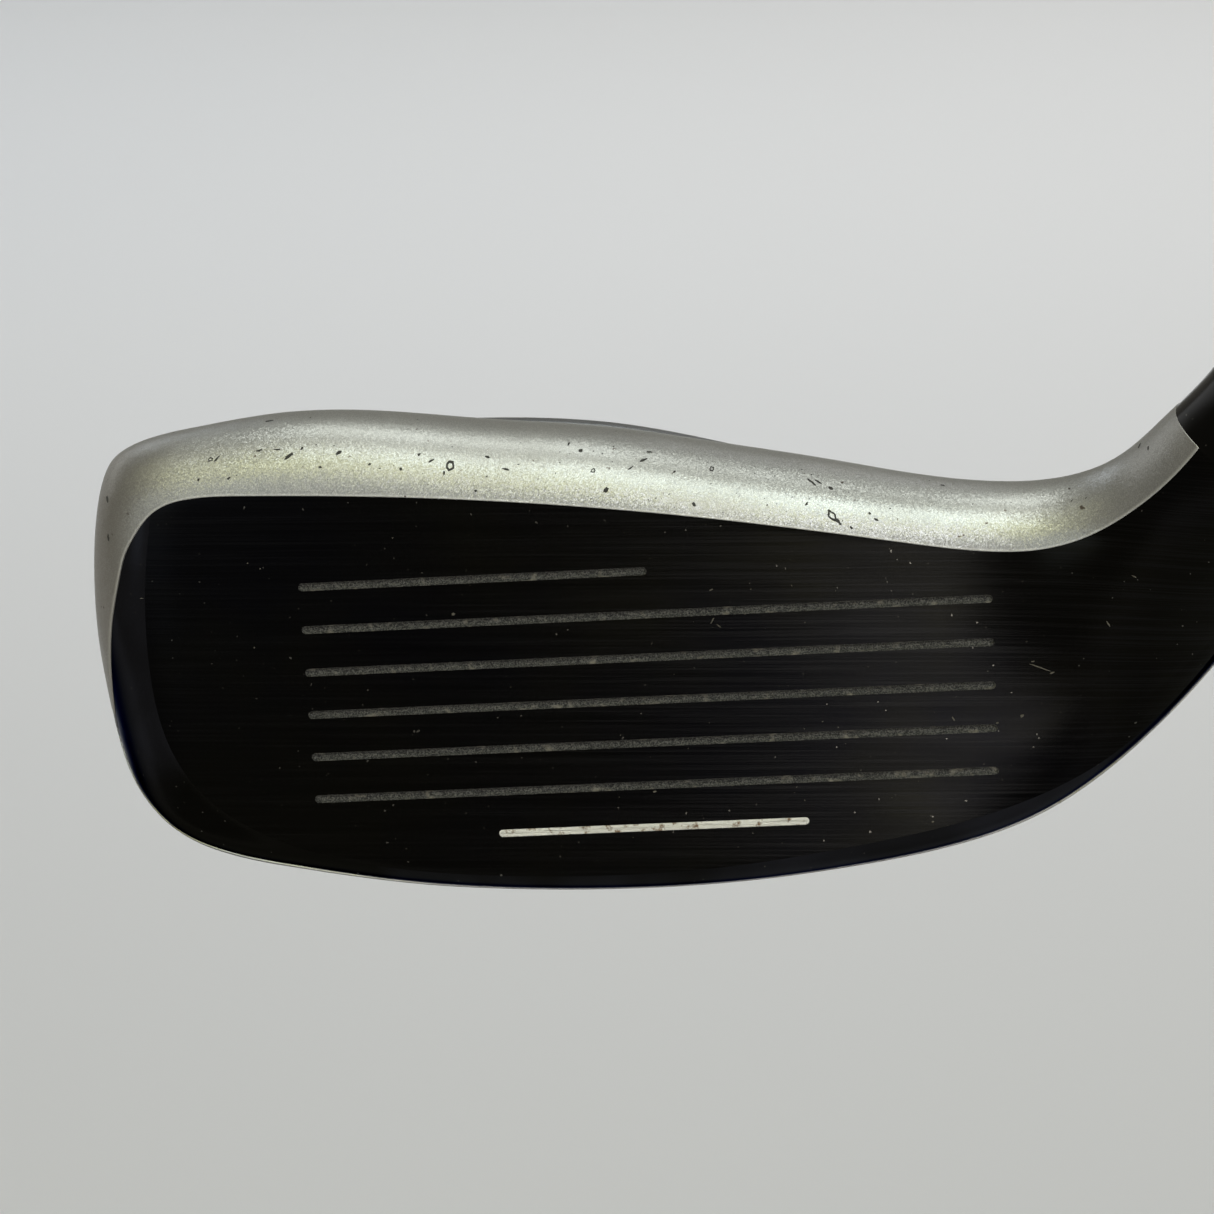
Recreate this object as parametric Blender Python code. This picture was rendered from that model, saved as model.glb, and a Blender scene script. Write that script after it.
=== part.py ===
"""Right-handed hybrid golf club, standing in its address pose.

The model is laid out in millimetres in the address frame: X from toe to heel, Y from the face to the
back, Z up from the ground under the sole. An empty at the player's grip carries every piece, so the
part's origin is the middle of the grip, where the hands hold the club.
"""

import math

import bmesh
import bpy
import numpy as np
from mathutils import Vector

MM = 0.001

# Club
LOFT = math.radians(20.0)
LIE = math.radians(59.5)
CLUB_LENGTH = 1016.0
AXIS_FOOT_X = 32.0
AXIS_Y = 9.8

# Head
WALL = 1.6
HOSEL_RADIUS = 6.8
BORE_RADIUS = 5.45
HOSEL_TOP = 70.0
MID_DEPTH = 55.0

# Score lines
LINE_PITCH = 3.55
LINE_WIDTH = 0.9
LINE_DEPTH = 0.45
LOWEST_LINE_V = 7.0
LONG_LINE = (-25.0, 31.0)
TOP_LINE = (-25.0, 3.4)
FILLED_LINE = (-10.0, 15.5)

# Shaft, ferrule and grip
TIP_RADIUS = 4.7
BUTT_RADIUS = 7.6
TIP_PARALLEL = 115.0
SHAFT_START = 41.0
SHAFT_WALL = 1.2
FERRULE_LENGTH = 24.0
GRIP_LENGTH = 267.0
GRIP_MOUTH_RADIUS = 9.3
GRIP_BUTT_RADIUS = 13.2
CAP_THICKNESS = 3.6
HOLD_AT = 905.0
SIDES = 24
SHARP_ANGLE = math.radians(35.0)

# Head sections from the toe to the hosel. Each section lies in a plane that contains the Y direction.
# Columns: bottom point (X, Z), top point (X, Z), front offset behind the face plane, depth behind the
# face plane, roundness, and the middle and half width in Y that a fully round section would have.
SECTIONS = (
    (-43.4, 14.8, -43.4, 23.0, 8.2, 14.5, 1.0, 18.0, 3.6),
    (-43.0, 12.4, -43.0, 28.4, 5.6, 20.0, 0.8, 20.0, 7.5),
    (-42.0, 10.4, -42.1, 32.6, 3.4, 25.5, 0.5, 21.5, 11.0),
    (-40.2, 9.0, -40.4, 35.1, 1.4, 31.0, 0.22, 22.5, 14.5),
    (-37.4, 6.9, -37.4, 36.4, 0.25, 36.5, 0.05, 24.0, 18.0),
    (-33.3, 4.6, -33.0, 37.2, 0.0, 42.0, 0.0, 26.0, 21.0),
    (-27.0, 2.9, -26.5, 37.7, 0.0, 47.5, 0.0, 28.0, 24.0),
    (-19.0, 1.4, -18.5, 37.3, 0.0, 52.0, 0.0, 30.0, 26.0),
    (-10.0, 0.4, -9.5, 36.1, 0.0, 54.5, 0.0, 30.0, 27.0),
    (0.0, 0.0, 0.0, 35.0, 0.0, 55.0, 0.0, 30.0, 27.0),
    (10.0, 0.3, 9.5, 33.3, 0.0, 53.5, 0.0, 30.0, 26.0),
    (19.0, 1.3, 18.0, 31.8, 0.0, 49.0, 0.0, 28.0, 24.0),
    (27.5, 2.9, 25.2, 30.6, 0.0, 41.5, 0.0, 23.0, 20.0),
    (35.3, 5.4, 31.0, 30.0, 0.0, 33.0, 0.06, 18.0, 15.5),
    (42.6, 9.9, 36.4, 30.5, 0.0, 25.5, 0.27, 14.0, 11.5),
    (48.4, 15.6, 41.1, 32.8, 0.0, 20.0, 0.6, 11.5, 8.8),
    (52.5, 21.4, 44.5, 36.8, 0.0, 16.5, 0.85, 10.2, 7.4),
    (56.4, 27.8, 47.6, 40.3, 0.0, 14.0, 0.97, 9.9, 6.9),
)
# The last sections are circles square to the shaft axis, at these distances up it from the ground.
HOSEL_SECTIONS = (53.0, 61.5, HOSEL_TOP)

# Control points of one head section: height share, depth behind the face plane as a share of the
# section's depth, and the angle that the point takes on a round section.
PROFILE = (
    (0.046, 0.0, 30.0),
    (0.103, 0.0, 40.0),
    (0.187, 0.0, 52.0),
    (0.374, 0.0, 70.0),
    (0.575, 0.0, 92.0),
    (0.776, 0.0, 113.0),
    (0.885, 0.0, 128.0),
    (0.955, 0.0, 141.0),
    (1.023, 0.029, 158.0),
    (1.034, 0.095, 176.0),
    (0.994, 0.171, 192.0),
    (0.891, 0.282, 208.0),
    (0.747, 0.445, 224.0),
    (0.589, 0.627, 240.0),
    (0.454, 0.8, 256.0),
    (0.379, 0.945, 271.0),
    (0.287, 1.018, 286.0),
    (0.19, 0.982, 301.0),
    (0.103, 0.818, 315.0),
    (0.034, 0.618, 328.0),
    (-0.009, 0.4, 340.0),
    (-0.014, 0.218, 352.0),
    (-0.009, 0.1, 366.0),
    (0.0, 0.033, 378.0),
)
FRONT_POINTS = (7, 11)
ROLL_POWER = 0.65

# Places round a section where the mesh has its lines, in control points.
RING_STEPS = np.array(
    [0.0, 0.5, 1.0, 1.5, 3.0, 4.5, 5.5, 6.0, 6.5, 7.0, 7.5, 8.0, 8.5, 9.0, 9.5, 10.0, 10.5, 11.0, 11.5, 12.0,
     12.5, 13.0, 13.5, 14.0, 14.75, 15.5, 16.0, 16.5, 17.25, 18.0, 19.0, 20.0, 21.0, 22.0, 22.5, 23.0, 23.5]
)
FACE_RINGS = (1.0, 6.0)
CROWN_RINGS = (6.5, 14.75)
# Places along the head where the mesh has its lines, in sections counted from the toe.
LENGTH_STEPS = np.array(
    [0.0, 0.5, 1.0, 1.5, 2.0, 2.5, 3.0, 3.5, 4.0, 4.5, 5.0, 6.0, 7.0, 7.5, 8.0, 8.5, 9.0, 9.5, 10.0, 10.5, 11.0,
     11.5, 12.0, 12.5, 13.0, 13.5, 14.0, 14.5, 15.0, 16.0, 17.0, 18.0, 19.0, 20.0]
)
FACE_LENGTH = (4.5, 13.0)
CROWN_LENGTH = (2.0, 12.5)
INNER_FROM = 2.0

# Raised panel on the crown behind its front lip: sections along, control points round, and height.
PANEL_LENGTH = (7.5, 10.5)
PANEL_RINGS = (10.5, 13.5)
PANEL_HEIGHT = 1.15
PANEL_GAP = 0.3

AXIS = Vector((math.cos(LIE), 0.0, math.sin(LIE)))
ACROSS = np.array([-math.sin(LIE), math.cos(LIE)])


def axis_point(along):
    """The point of the shaft axis this far up from the ground."""
    return Vector((AXIS_FOOT_X, AXIS_Y, 0.0)) + AXIS * along


def spline_weights(steps, count):
    """Weights of a closed uniform cubic B-spline with this many control points."""
    weights = np.zeros((len(steps), count))
    for row, step in enumerate(steps):
        first = int(math.floor(step))
        f = step - first
        shares = (
            (1 - f) ** 3 / 6,
            (3 * f**3 - 6 * f**2 + 4) / 6,
            (-3 * f**3 + 3 * f**2 + 3 * f + 1) / 6,
            f**3 / 6,
        )
        for offset, share in enumerate(shares):
            weights[row, (first + offset - 1) % count] += share
    return weights


def natural_spline(knots, values, places):
    """Natural cubic spline through values, an array whose first axis runs over the knots."""
    n = len(knots)
    gaps = np.diff(knots)
    system = np.eye(n)
    right = np.zeros((n,) + values.shape[1:])
    for i in range(1, n - 1):
        system[i, i - 1 : i + 2] = gaps[i - 1], 2 * (gaps[i - 1] + gaps[i]), gaps[i]
        right[i] = 6 * ((values[i + 1] - values[i]) / gaps[i] - (values[i] - values[i - 1]) / gaps[i - 1])
    bends = np.linalg.solve(system, right.reshape(n, -1)).reshape(right.shape)
    found = []
    for place in places:
        i = min(max(int(np.searchsorted(knots, place)) - 1, 0), n - 2)
        g = gaps[i]
        a = knots[i + 1] - place
        b = place - knots[i]
        found.append(
            (bends[i] * a**3 + bends[i + 1] * b**3) / (6 * g)
            + (values[i] / g - bends[i] * g / 6) * a
            + (values[i + 1] / g - bends[i + 1] * g / 6) * b
        )
    return np.array(found)


def section_curve(bottom, top, front, depth, roundness, middle, half, steps):
    """Points of one section of the head, in X, Y and Z."""
    profile = np.array(PROFILE)
    reach = depth - front
    shares = profile[:, 1].copy()
    roll = slice(*FRONT_POINTS)
    shares[roll] *= (reach / MID_DEPTH) ** (ROLL_POWER - 1)
    behind = front + shares * reach
    weights = spline_weights(steps, len(profile))
    fine = spline_weights(np.arange(0, len(profile), 0.1), len(profile)) @ profile[:, 0]
    rise = (weights @ profile[:, 0] - fine.min()) / (fine.max() - fine.min())
    line = top - bottom
    across = bottom[None, :] + rise[:, None] * line[None, :]
    y = across[:, 1] * math.tan(LOFT) + weights @ behind
    turns = np.concatenate([profile[:, 2], profile[:, 2] + 360, profile[:, 2] + 720])
    angle = np.radians(np.interp(np.asarray(steps) + len(profile), np.arange(len(turns)), turns))
    centre = (bottom + top) / 2
    round_across = centre[None, :] - np.cos(angle)[:, None] * line[None, :] / 2
    round_y = middle - half * np.sin(angle)
    across = (1 - roundness) * across + roundness * round_across
    y = (1 - roundness) * y + roundness * round_y
    return np.stack([across[:, 0], y, across[:, 1]], axis=1)


def head_sections(inset, steps):
    """Every section's curve, with the whole surface moved in by inset."""
    curves = []
    for x0, z0, x1, z1, front, depth, roundness, middle, half in SECTIONS:
        bottom = np.array([x0, z0])
        top = np.array([x1, z1])
        unit = (top - bottom) / np.linalg.norm(top - bottom)
        curves.append(
            section_curve(
                bottom + unit * inset, top - unit * inset, front + inset, depth - inset,
                roundness, middle, half - inset, steps,
            )
        )
    radius = HOSEL_RADIUS if inset == 0 else BORE_RADIUS
    for along in HOSEL_SECTIONS:
        point = axis_point(along)
        centre = np.array([point.x, point.z])
        low = centre - ACROSS * radius
        high = centre + ACROSS * radius
        curves.append(section_curve(low, high, 0.0, 12.0, 1.0, AXIS_Y, radius, steps))
    return np.array(curves)


def head_grid(inset, places, steps):
    """Points of the head's surface at places along it and steps round it."""
    curves = head_sections(inset, steps)
    gaps = np.linalg.norm(np.diff(curves, axis=0), axis=2).mean(axis=1)
    knots = np.concatenate([[0.0], np.cumsum(gaps)])
    at = np.interp(places, np.arange(len(knots)), knots)
    return natural_spline(knots, curves, at)


def material(name, colour, roughness, metallic):
    made = bpy.data.materials.new(name)
    made.use_nodes = True
    shader = made.node_tree.nodes["Principled BSDF"]
    shader.inputs["Base Color"].default_value = (*colour, 1.0)
    shader.inputs["Roughness"].default_value = roughness
    shader.inputs["Metallic"].default_value = metallic
    return made


def add_object(name, points, faces, look, smooth=True):
    """A mesh object from points in millimetres, carried by the empty at the grip."""
    mesh = bpy.data.meshes.new(name)
    hold = axis_point(HOLD_AT)
    mesh.from_pydata([((Vector(p) - hold) * MM) for p in points], [], faces)
    work = bmesh.new()
    work.from_mesh(mesh)
    bmesh.ops.recalc_face_normals(work, faces=work.faces)
    work.to_mesh(mesh)
    work.free()
    if smooth:
        mesh.shade_smooth()
        mesh.set_sharp_from_angle(angle=SHARP_ANGLE)
    mesh.materials.append(look)
    made = bpy.data.objects.new(name, mesh)
    bpy.context.scene.collection.objects.link(made)
    made.parent = GRIP_POINT
    return made


def window_faces(rows, columns, places, steps):
    """The row and column ranges of a window given by its ends along and round the head."""
    first_row, last_row = (int(np.flatnonzero(places == p)[0]) for p in rows)
    first_column, last_column = (int(np.flatnonzero(steps == s)[0]) for s in columns)
    return first_row, last_row, first_column, last_column


def in_window(i, j, window):
    return window[0] <= i < window[1] and window[2] <= j < window[3]


def head_body(outer, inner, windows, first_inner, look):
    """The hollow cast body, open at the face, at the crown and up through the hosel."""
    rows, columns = outer.shape[:2]
    points = [tuple(p) for p in outer.reshape(-1, 3)] + [tuple(p) for p in inner.reshape(-1, 3)]
    faces = []

    def out(i, j):
        return i * columns + j % columns

    def inn(i, j):
        return rows * columns + i * columns + j % columns

    for i in range(rows - 1):
        for j in range(columns):
            if any(in_window(i, j, w) for w in windows):
                continue
            faces.append((out(i, j), out(i, j + 1), out(i + 1, j + 1), out(i + 1, j)))
            if i >= first_inner:
                faces.append((inn(i, j), inn(i + 1, j), inn(i + 1, j + 1), inn(i, j + 1)))
    for j in range(columns):
        faces.append((out(rows - 1, j), out(rows - 1, j + 1), inn(rows - 1, j + 1), inn(rows - 1, j)))
    toe = len(points)
    points.append(tuple(outer[0].mean(axis=0) - np.array([0.12, 0.0, 0.0])))
    back_wall = len(points)
    points.append(tuple(inner[first_inner].mean(axis=0)))
    for j in range(columns):
        faces.append((out(0, j + 1), out(0, j), toe))
        faces.append((inn(first_inner, j), inn(first_inner, j + 1), back_wall))
    for top_row, bottom_row, left, right in windows:
        for j in range(left, right):
            for i in (top_row, bottom_row):
                faces.append((out(i, j), out(i, j + 1), inn(i, j + 1), inn(i, j)))
        for i in range(top_row, bottom_row):
            for j in (left, right):
                faces.append((out(i, j), out(i + 1, j), inn(i + 1, j), inn(i, j)))
    used = sorted({index for face in faces for index in face})
    place = {old: new for new, old in enumerate(used)}
    return add_object(
        "head_body", [points[i] for i in used], [tuple(place[i] for i in f) for f in faces], look
    )


def pull_in(grid, gap):
    """The same patch with its four edges moved in by a gap."""
    made = grid.copy()
    for axis in (0, 1):
        turned = np.moveaxis(made, axis, 0)
        for edge, beside in ((0, 1), (-1, -2)):
            step = turned[beside] - turned[edge]
            turned[edge] += step / np.linalg.norm(step, axis=-1, keepdims=True) * gap
    return made


def patch(name, outer, inner, share, window, gap, look, smooth=True):
    """A plate that fills a window of the body, from the outer surface to this share of the wall."""
    top_row, bottom_row, left, right = window
    skin = outer[top_row : bottom_row + 1, left : right + 1]
    lining = skin + (inner[top_row : bottom_row + 1, left : right + 1] - skin) * share
    skin = pull_in(skin, gap)
    lining = pull_in(lining, gap)
    rows, columns = skin.shape[:2]
    points = [tuple(p) for p in skin.reshape(-1, 3)] + [tuple(p) for p in lining.reshape(-1, 3)]
    faces = []
    size = rows * columns
    for i in range(rows - 1):
        for j in range(columns - 1):
            a = i * columns + j
            ring = (a, a + 1, a + columns + 1, a + columns)
            faces.append(ring)
            faces.append(tuple(size + k for k in reversed(ring)))
    edge = [(0, j) for j in range(columns)] + [(i, columns - 1) for i in range(1, rows)]
    edge += [(rows - 1, j) for j in range(columns - 2, -1, -1)] + [(i, 0) for i in range(rows - 2, 0, -1)]
    loop = [i * columns + j for i, j in edge]
    for k, a in enumerate(loop):
        b = loop[(k + 1) % len(loop)]
        faces.append((a, b, size + b, size + a))
    return add_object(name, points, faces, look, smooth)


def face_point(x, up, behind):
    """A point given by X, the distance up the face plane from the ground, and the distance behind it."""
    slope = Vector((0.0, math.sin(LOFT), math.cos(LOFT)))
    inward = Vector((0.0, math.cos(LOFT), -math.sin(LOFT)))
    return Vector((x, 0.0, 0.0)) + slope * up + inward * behind


def face_bar(name, ends, up, width, near, far, look):
    """A straight bar with rounded ends, lying in the face plane between two depths behind it."""
    half = width / 2
    rim = []
    for centre, start in ((ends[1] - half, -90), (ends[0] + half, 90)):
        for k in range(7):
            turn = math.radians(start + 30 * k)
            rim.append((centre + half * math.cos(turn), up + half * math.sin(turn)))
    count = len(rim)
    points = [face_point(x, v, near) for x, v in rim] + [face_point(x, v, far) for x, v in rim]
    faces = [tuple(range(count)), tuple(reversed(range(count, 2 * count)))]
    faces += [(k, (k + 1) % count, count + (k + 1) % count, count + k) for k in range(count)]
    return add_object(name, points, faces, look)


def turned(name, stations, look, sides=SIDES, closed_bore=False):
    """A piece turned round the shaft axis from (distance up the axis, radius) pairs of its outline."""
    across = Vector((-math.sin(LIE), 0.0, math.cos(LIE)))
    front = Vector((0.0, -1.0, 0.0))
    points = []
    faces = []
    count = len(stations)
    for along, radius in stations:
        for k in range(sides):
            turn = 2 * math.pi * k / sides
            points.append(axis_point(along) + (across * math.cos(turn) + front * math.sin(turn)) * radius)
    spans = count if not closed_bore else count - 1
    for i in range(spans):
        low = i * sides
        high = ((i + 1) % count) * sides
        for k in range(sides):
            n = (k + 1) % sides
            faces.append((low + k, low + n, high + n, high + k))
    if closed_bore:
        for i, flip in ((0, True), (count - 1, False)):
            ring = [i * sides + k for k in range(sides)]
            faces.append(tuple(reversed(ring)) if flip else tuple(ring))
    return add_object(name, points, faces, look)


def shaft_radius(along):
    """Outer radius of the shaft at a distance up the axis from the ground."""
    start = SHAFT_START + TIP_PARALLEL
    share = max(0.0, along - start) / (CLUB_LENGTH - start)
    return TIP_RADIUS + (BUTT_RADIUS - TIP_RADIUS) * share


def ring_block(name, rim, low, high, look, bevel):
    """A block with a plan outline, standing between two heights, with softened edges."""
    count = len(rim)
    points = [(x, y, low) for x, y in rim] + [(x, y, high) for x, y in rim]
    faces = [tuple(range(count)), tuple(reversed(range(count, 2 * count)))]
    faces += [(k, (k + 1) % count, count + (k + 1) % count, count + k) for k in range(count)]
    made = add_object(name, points, faces, look)
    soft = made.modifiers.new("soft_edges", "BEVEL")
    soft.width = bevel * MM
    soft.segments = 2
    soft.limit_method = "ANGLE"
    return made


for old in list(bpy.data.objects):
    bpy.data.objects.remove(old, do_unlink=True)

GRIP_POINT = bpy.data.objects.new("grip_point", None)
bpy.context.scene.collection.objects.link(GRIP_POINT)

BLACK_STEEL = material("black_brushed_steel", (0.012, 0.012, 0.014), 0.32, 1.0)
BLACK_PAINT = material("black_gloss_paint", (0.012, 0.012, 0.016), 0.12, 0.0)
SILVER_PAINT = material("silver_metallic_paint", (0.46, 0.47, 0.48), 0.3, 0.8)
PANEL_PAINT = material("grey_metallic_paint", (0.3, 0.31, 0.33), 0.32, 0.8)
LINE_PAINT = material("cream_line_paint", (0.72, 0.69, 0.6), 0.55, 0.0)
TUNGSTEN = material("sintered_tungsten", (0.3, 0.3, 0.31), 0.5, 1.0)
HOT_MELT = material("amber_hot_melt", (0.5, 0.33, 0.12), 0.4, 0.0)
FERRULE_PLASTIC = material("black_ferrule_plastic", (0.014, 0.014, 0.015), 0.18, 0.0)
EPOXY = material("grey_epoxy", (0.35, 0.36, 0.34), 0.45, 0.0)
PLUG_PLASTIC = material("white_plug_plastic", (0.6, 0.6, 0.58), 0.5, 0.0)
GRAPHITE = material("black_graphite_lacquer", (0.02, 0.021, 0.024), 0.15, 0.0)
TAPE = material("tan_grip_tape", (0.55, 0.47, 0.33), 0.7, 0.0)
RUBBER = material("black_grip_rubber", (0.018, 0.018, 0.018), 0.75, 0.0)
CAP_RUBBER = material("black_cap_rubber", (0.025, 0.025, 0.025), 0.6, 0.0)

outer_grid = head_grid(0.0, LENGTH_STEPS, RING_STEPS)
inner_grid = head_grid(WALL, LENGTH_STEPS, RING_STEPS)
face_window = window_faces(FACE_LENGTH, FACE_RINGS, LENGTH_STEPS, RING_STEPS)
crown_window = window_faces(CROWN_LENGTH, CROWN_RINGS, LENGTH_STEPS, RING_STEPS)
first_inner_row = int(np.flatnonzero(LENGTH_STEPS == INNER_FROM)[0])
head_body(outer_grid, inner_grid, (face_window, crown_window), first_inner_row, BLACK_PAINT)
patch("crown_shell", outer_grid, inner_grid, 0.7, crown_window, 0.15, SILVER_PAINT)
panel_places = np.linspace(*PANEL_LENGTH, 7)
panel_steps = np.linspace(*PANEL_RINGS, 7)
panel_top = pull_in(head_grid(-PANEL_HEIGHT, panel_places, panel_steps), 0.9)
panel_foot = head_grid(-PANEL_GAP, panel_places, panel_steps)
patch("crown_panel", panel_top, panel_foot, 1.0, (0, 6, 0, 6), 0.0, PANEL_PAINT)
plate = patch("face_plate", outer_grid, inner_grid, 1.0, face_window, 0.15, BLACK_STEEL, smooth=False)

lines = [TOP_LINE if row == 6 else FILLED_LINE if row == 0 else LONG_LINE for row in range(7)]
for row, ends in enumerate(lines):
    line_up = LOWEST_LINE_V + LINE_PITCH * row
    cutter = face_bar(f"score_cutter_{row}", ends, line_up, LINE_WIDTH, -1.0, LINE_DEPTH, BLACK_STEEL)
    cutter.hide_render = True
    cutter.display_type = "WIRE"
    cut = plate.modifiers.new(f"score_line_{row}", "BOOLEAN")
    cut.operation = "DIFFERENCE"
    cut.object = cutter
fill_ends = (FILLED_LINE[0] + 0.1, FILLED_LINE[1] - 0.1)
face_bar("score_line_fill", fill_ends, LOWEST_LINE_V, LINE_WIDTH - 0.2, 0.05, LINE_DEPTH - 0.1, LINE_PAINT)

weight_rim = [(2.0 + 15.0 * math.cos(a), 38.0 + 7.5 * math.sin(a)) for a in np.linspace(0, 2 * math.pi, 20, False)]
ring_block("rear_weight", weight_rim, 6.2, 10.4, TUNGSTEN, 0.8)
melt_rim = [(-14.0 + 8.0 * math.cos(a), 17.0 + 6.0 * math.sin(a)) for a in np.linspace(0, 2 * math.pi, 16, False)]
ring_block("hot_melt_pad", melt_rim, 4.4, 7.0, HOT_MELT, 1.0)

ferrule_foot = HOSEL_TOP + 0.3
ferrule_tip = ferrule_foot + FERRULE_LENGTH
turned(
    "ferrule",
    (
        (ferrule_foot, 5.0),
        (ferrule_foot, HOSEL_RADIUS),
        (ferrule_foot + 2.0, HOSEL_RADIUS),
        (ferrule_foot + 9.0, HOSEL_RADIUS - 0.35),
        (ferrule_foot + 16.0, HOSEL_RADIUS - 0.95),
        (ferrule_tip - 1.0, 5.55),
        (ferrule_tip, 5.3),
        (ferrule_tip, 5.0),
    ),
    FERRULE_PLASTIC,
)
turned("hosel_bond", ((55.0, 4.8), (55.0, 5.15), (69.6, 5.15), (69.6, 4.8)), EPOXY)
shaft_top = CLUB_LENGTH - CAP_THICKNESS - 0.4
outline = [(SHAFT_START, TIP_RADIUS - 0.4), (SHAFT_START + 0.6, TIP_RADIUS)]
outline += [(SHAFT_START + TIP_PARALLEL, TIP_RADIUS)]
outline += [(a, shaft_radius(a)) for a in (360.0, 560.0, 745.0, 880.0)] + [(shaft_top, shaft_radius(shaft_top))]
bore = [(a, r - SHAFT_WALL) for a, r in reversed(outline[2:])] + [(SHAFT_START, TIP_RADIUS - SHAFT_WALL)]
turned("shaft", outline + bore, GRAPHITE)
turned("tip_plug", ((42.0, 2.9), (43.0, 3.2), (55.0, 3.2), (56.0, 2.9)), PLUG_PLASTIC, sides=16, closed_bore=True)

grip_top = CLUB_LENGTH - CAP_THICKNESS - 0.3
grip_foot = grip_top - GRIP_LENGTH
tape_foot = grip_foot + 4.0
tape_span = [tape_foot, tape_foot + 120.0, grip_top - 6.0]
tape = [(a, shaft_radius(a) + 0.1) for a in tape_span]
tape += [(a, shaft_radius(a) + 0.4) for a in reversed(tape_span)]
turned("grip_tape", tape[::-1], TAPE)
grip_shares = (0.0, 0.02, 0.2, 0.45, 0.7, 0.9, 1.0)
grip_outer = []
for share in grip_shares:
    swell = GRIP_MOUTH_RADIUS + (GRIP_BUTT_RADIUS - GRIP_MOUTH_RADIUS) * share**1.15
    grip_outer.append((grip_foot + GRIP_LENGTH * share, swell - (0.6 if share == 0.0 else 0.0)))
grip_inner = [(a, shaft_radius(a) + 0.55) for a in (grip_top, grip_foot + 120.0, grip_foot)]
turned("grip", grip_outer + grip_inner, RUBBER)
cap_foot = CLUB_LENGTH - CAP_THICKNESS
turned(
    "grip_cap",
    (
        (cap_foot - 12.0, 1.5),
        (cap_foot - 12.0, 5.4),
        (cap_foot - 11.0, 5.9),
        (cap_foot, 5.9),
        (cap_foot, GRIP_BUTT_RADIUS),
        (cap_foot + 1.2, GRIP_BUTT_RADIUS + 0.25),
        (CLUB_LENGTH - 0.9, GRIP_BUTT_RADIUS - 0.2),
        (CLUB_LENGTH, GRIP_BUTT_RADIUS - 1.4),
        (CLUB_LENGTH, 1.5),
    ),
    CAP_RUBBER,
)
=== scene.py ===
"""Looks of the hybrid golf club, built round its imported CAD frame.

Shapes are worked out in millimetres in the club's address frame, X from toe to heel, Y from the face
to the back and Z up from the ground, and moved into the part's frame at the end. The head's skin is
one fine surface, cut along its paint lines into pieces, and the hitting area gets real score lines.
"""

import math

import bpy
import numpy as np
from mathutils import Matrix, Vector
from mathutils.bvhtree import BVHTree
from mathutils.geometry import delaunay_2d_cdt


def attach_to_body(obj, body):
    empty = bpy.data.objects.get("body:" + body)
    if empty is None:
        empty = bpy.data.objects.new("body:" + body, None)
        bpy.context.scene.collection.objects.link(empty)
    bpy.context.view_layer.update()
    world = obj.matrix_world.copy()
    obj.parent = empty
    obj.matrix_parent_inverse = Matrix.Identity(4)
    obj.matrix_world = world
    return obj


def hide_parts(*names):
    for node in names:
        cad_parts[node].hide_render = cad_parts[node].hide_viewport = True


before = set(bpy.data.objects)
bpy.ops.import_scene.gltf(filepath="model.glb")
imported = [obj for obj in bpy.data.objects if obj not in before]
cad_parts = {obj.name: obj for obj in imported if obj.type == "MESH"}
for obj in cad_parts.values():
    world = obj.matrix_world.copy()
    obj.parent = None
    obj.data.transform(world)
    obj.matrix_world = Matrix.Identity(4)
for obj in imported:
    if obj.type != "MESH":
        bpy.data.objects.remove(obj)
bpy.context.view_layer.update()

MM = 0.001
RANDOM = np.random.default_rng(7)

# Club, as in the CAD model
LOFT = math.radians(20.0)
LIE = math.radians(59.5)
CLUB_LENGTH = 1016.0
AXIS_FOOT = np.array([32.0, 9.8, 0.0])
AXIS = np.array([math.cos(LIE), 0.0, math.sin(LIE)])
ACROSS = np.array([-math.sin(LIE), 0.0, math.cos(LIE)])
HOLD_AT = 905.0
HOSEL_RADIUS = 6.8
HOSEL_TOP = 70.0
MID_DEPTH = 55.0
FACE_UP = np.array([0.0, math.sin(LOFT), math.cos(LOFT)])
FACE_IN = np.array([0.0, math.cos(LOFT), -math.sin(LOFT)])

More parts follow.
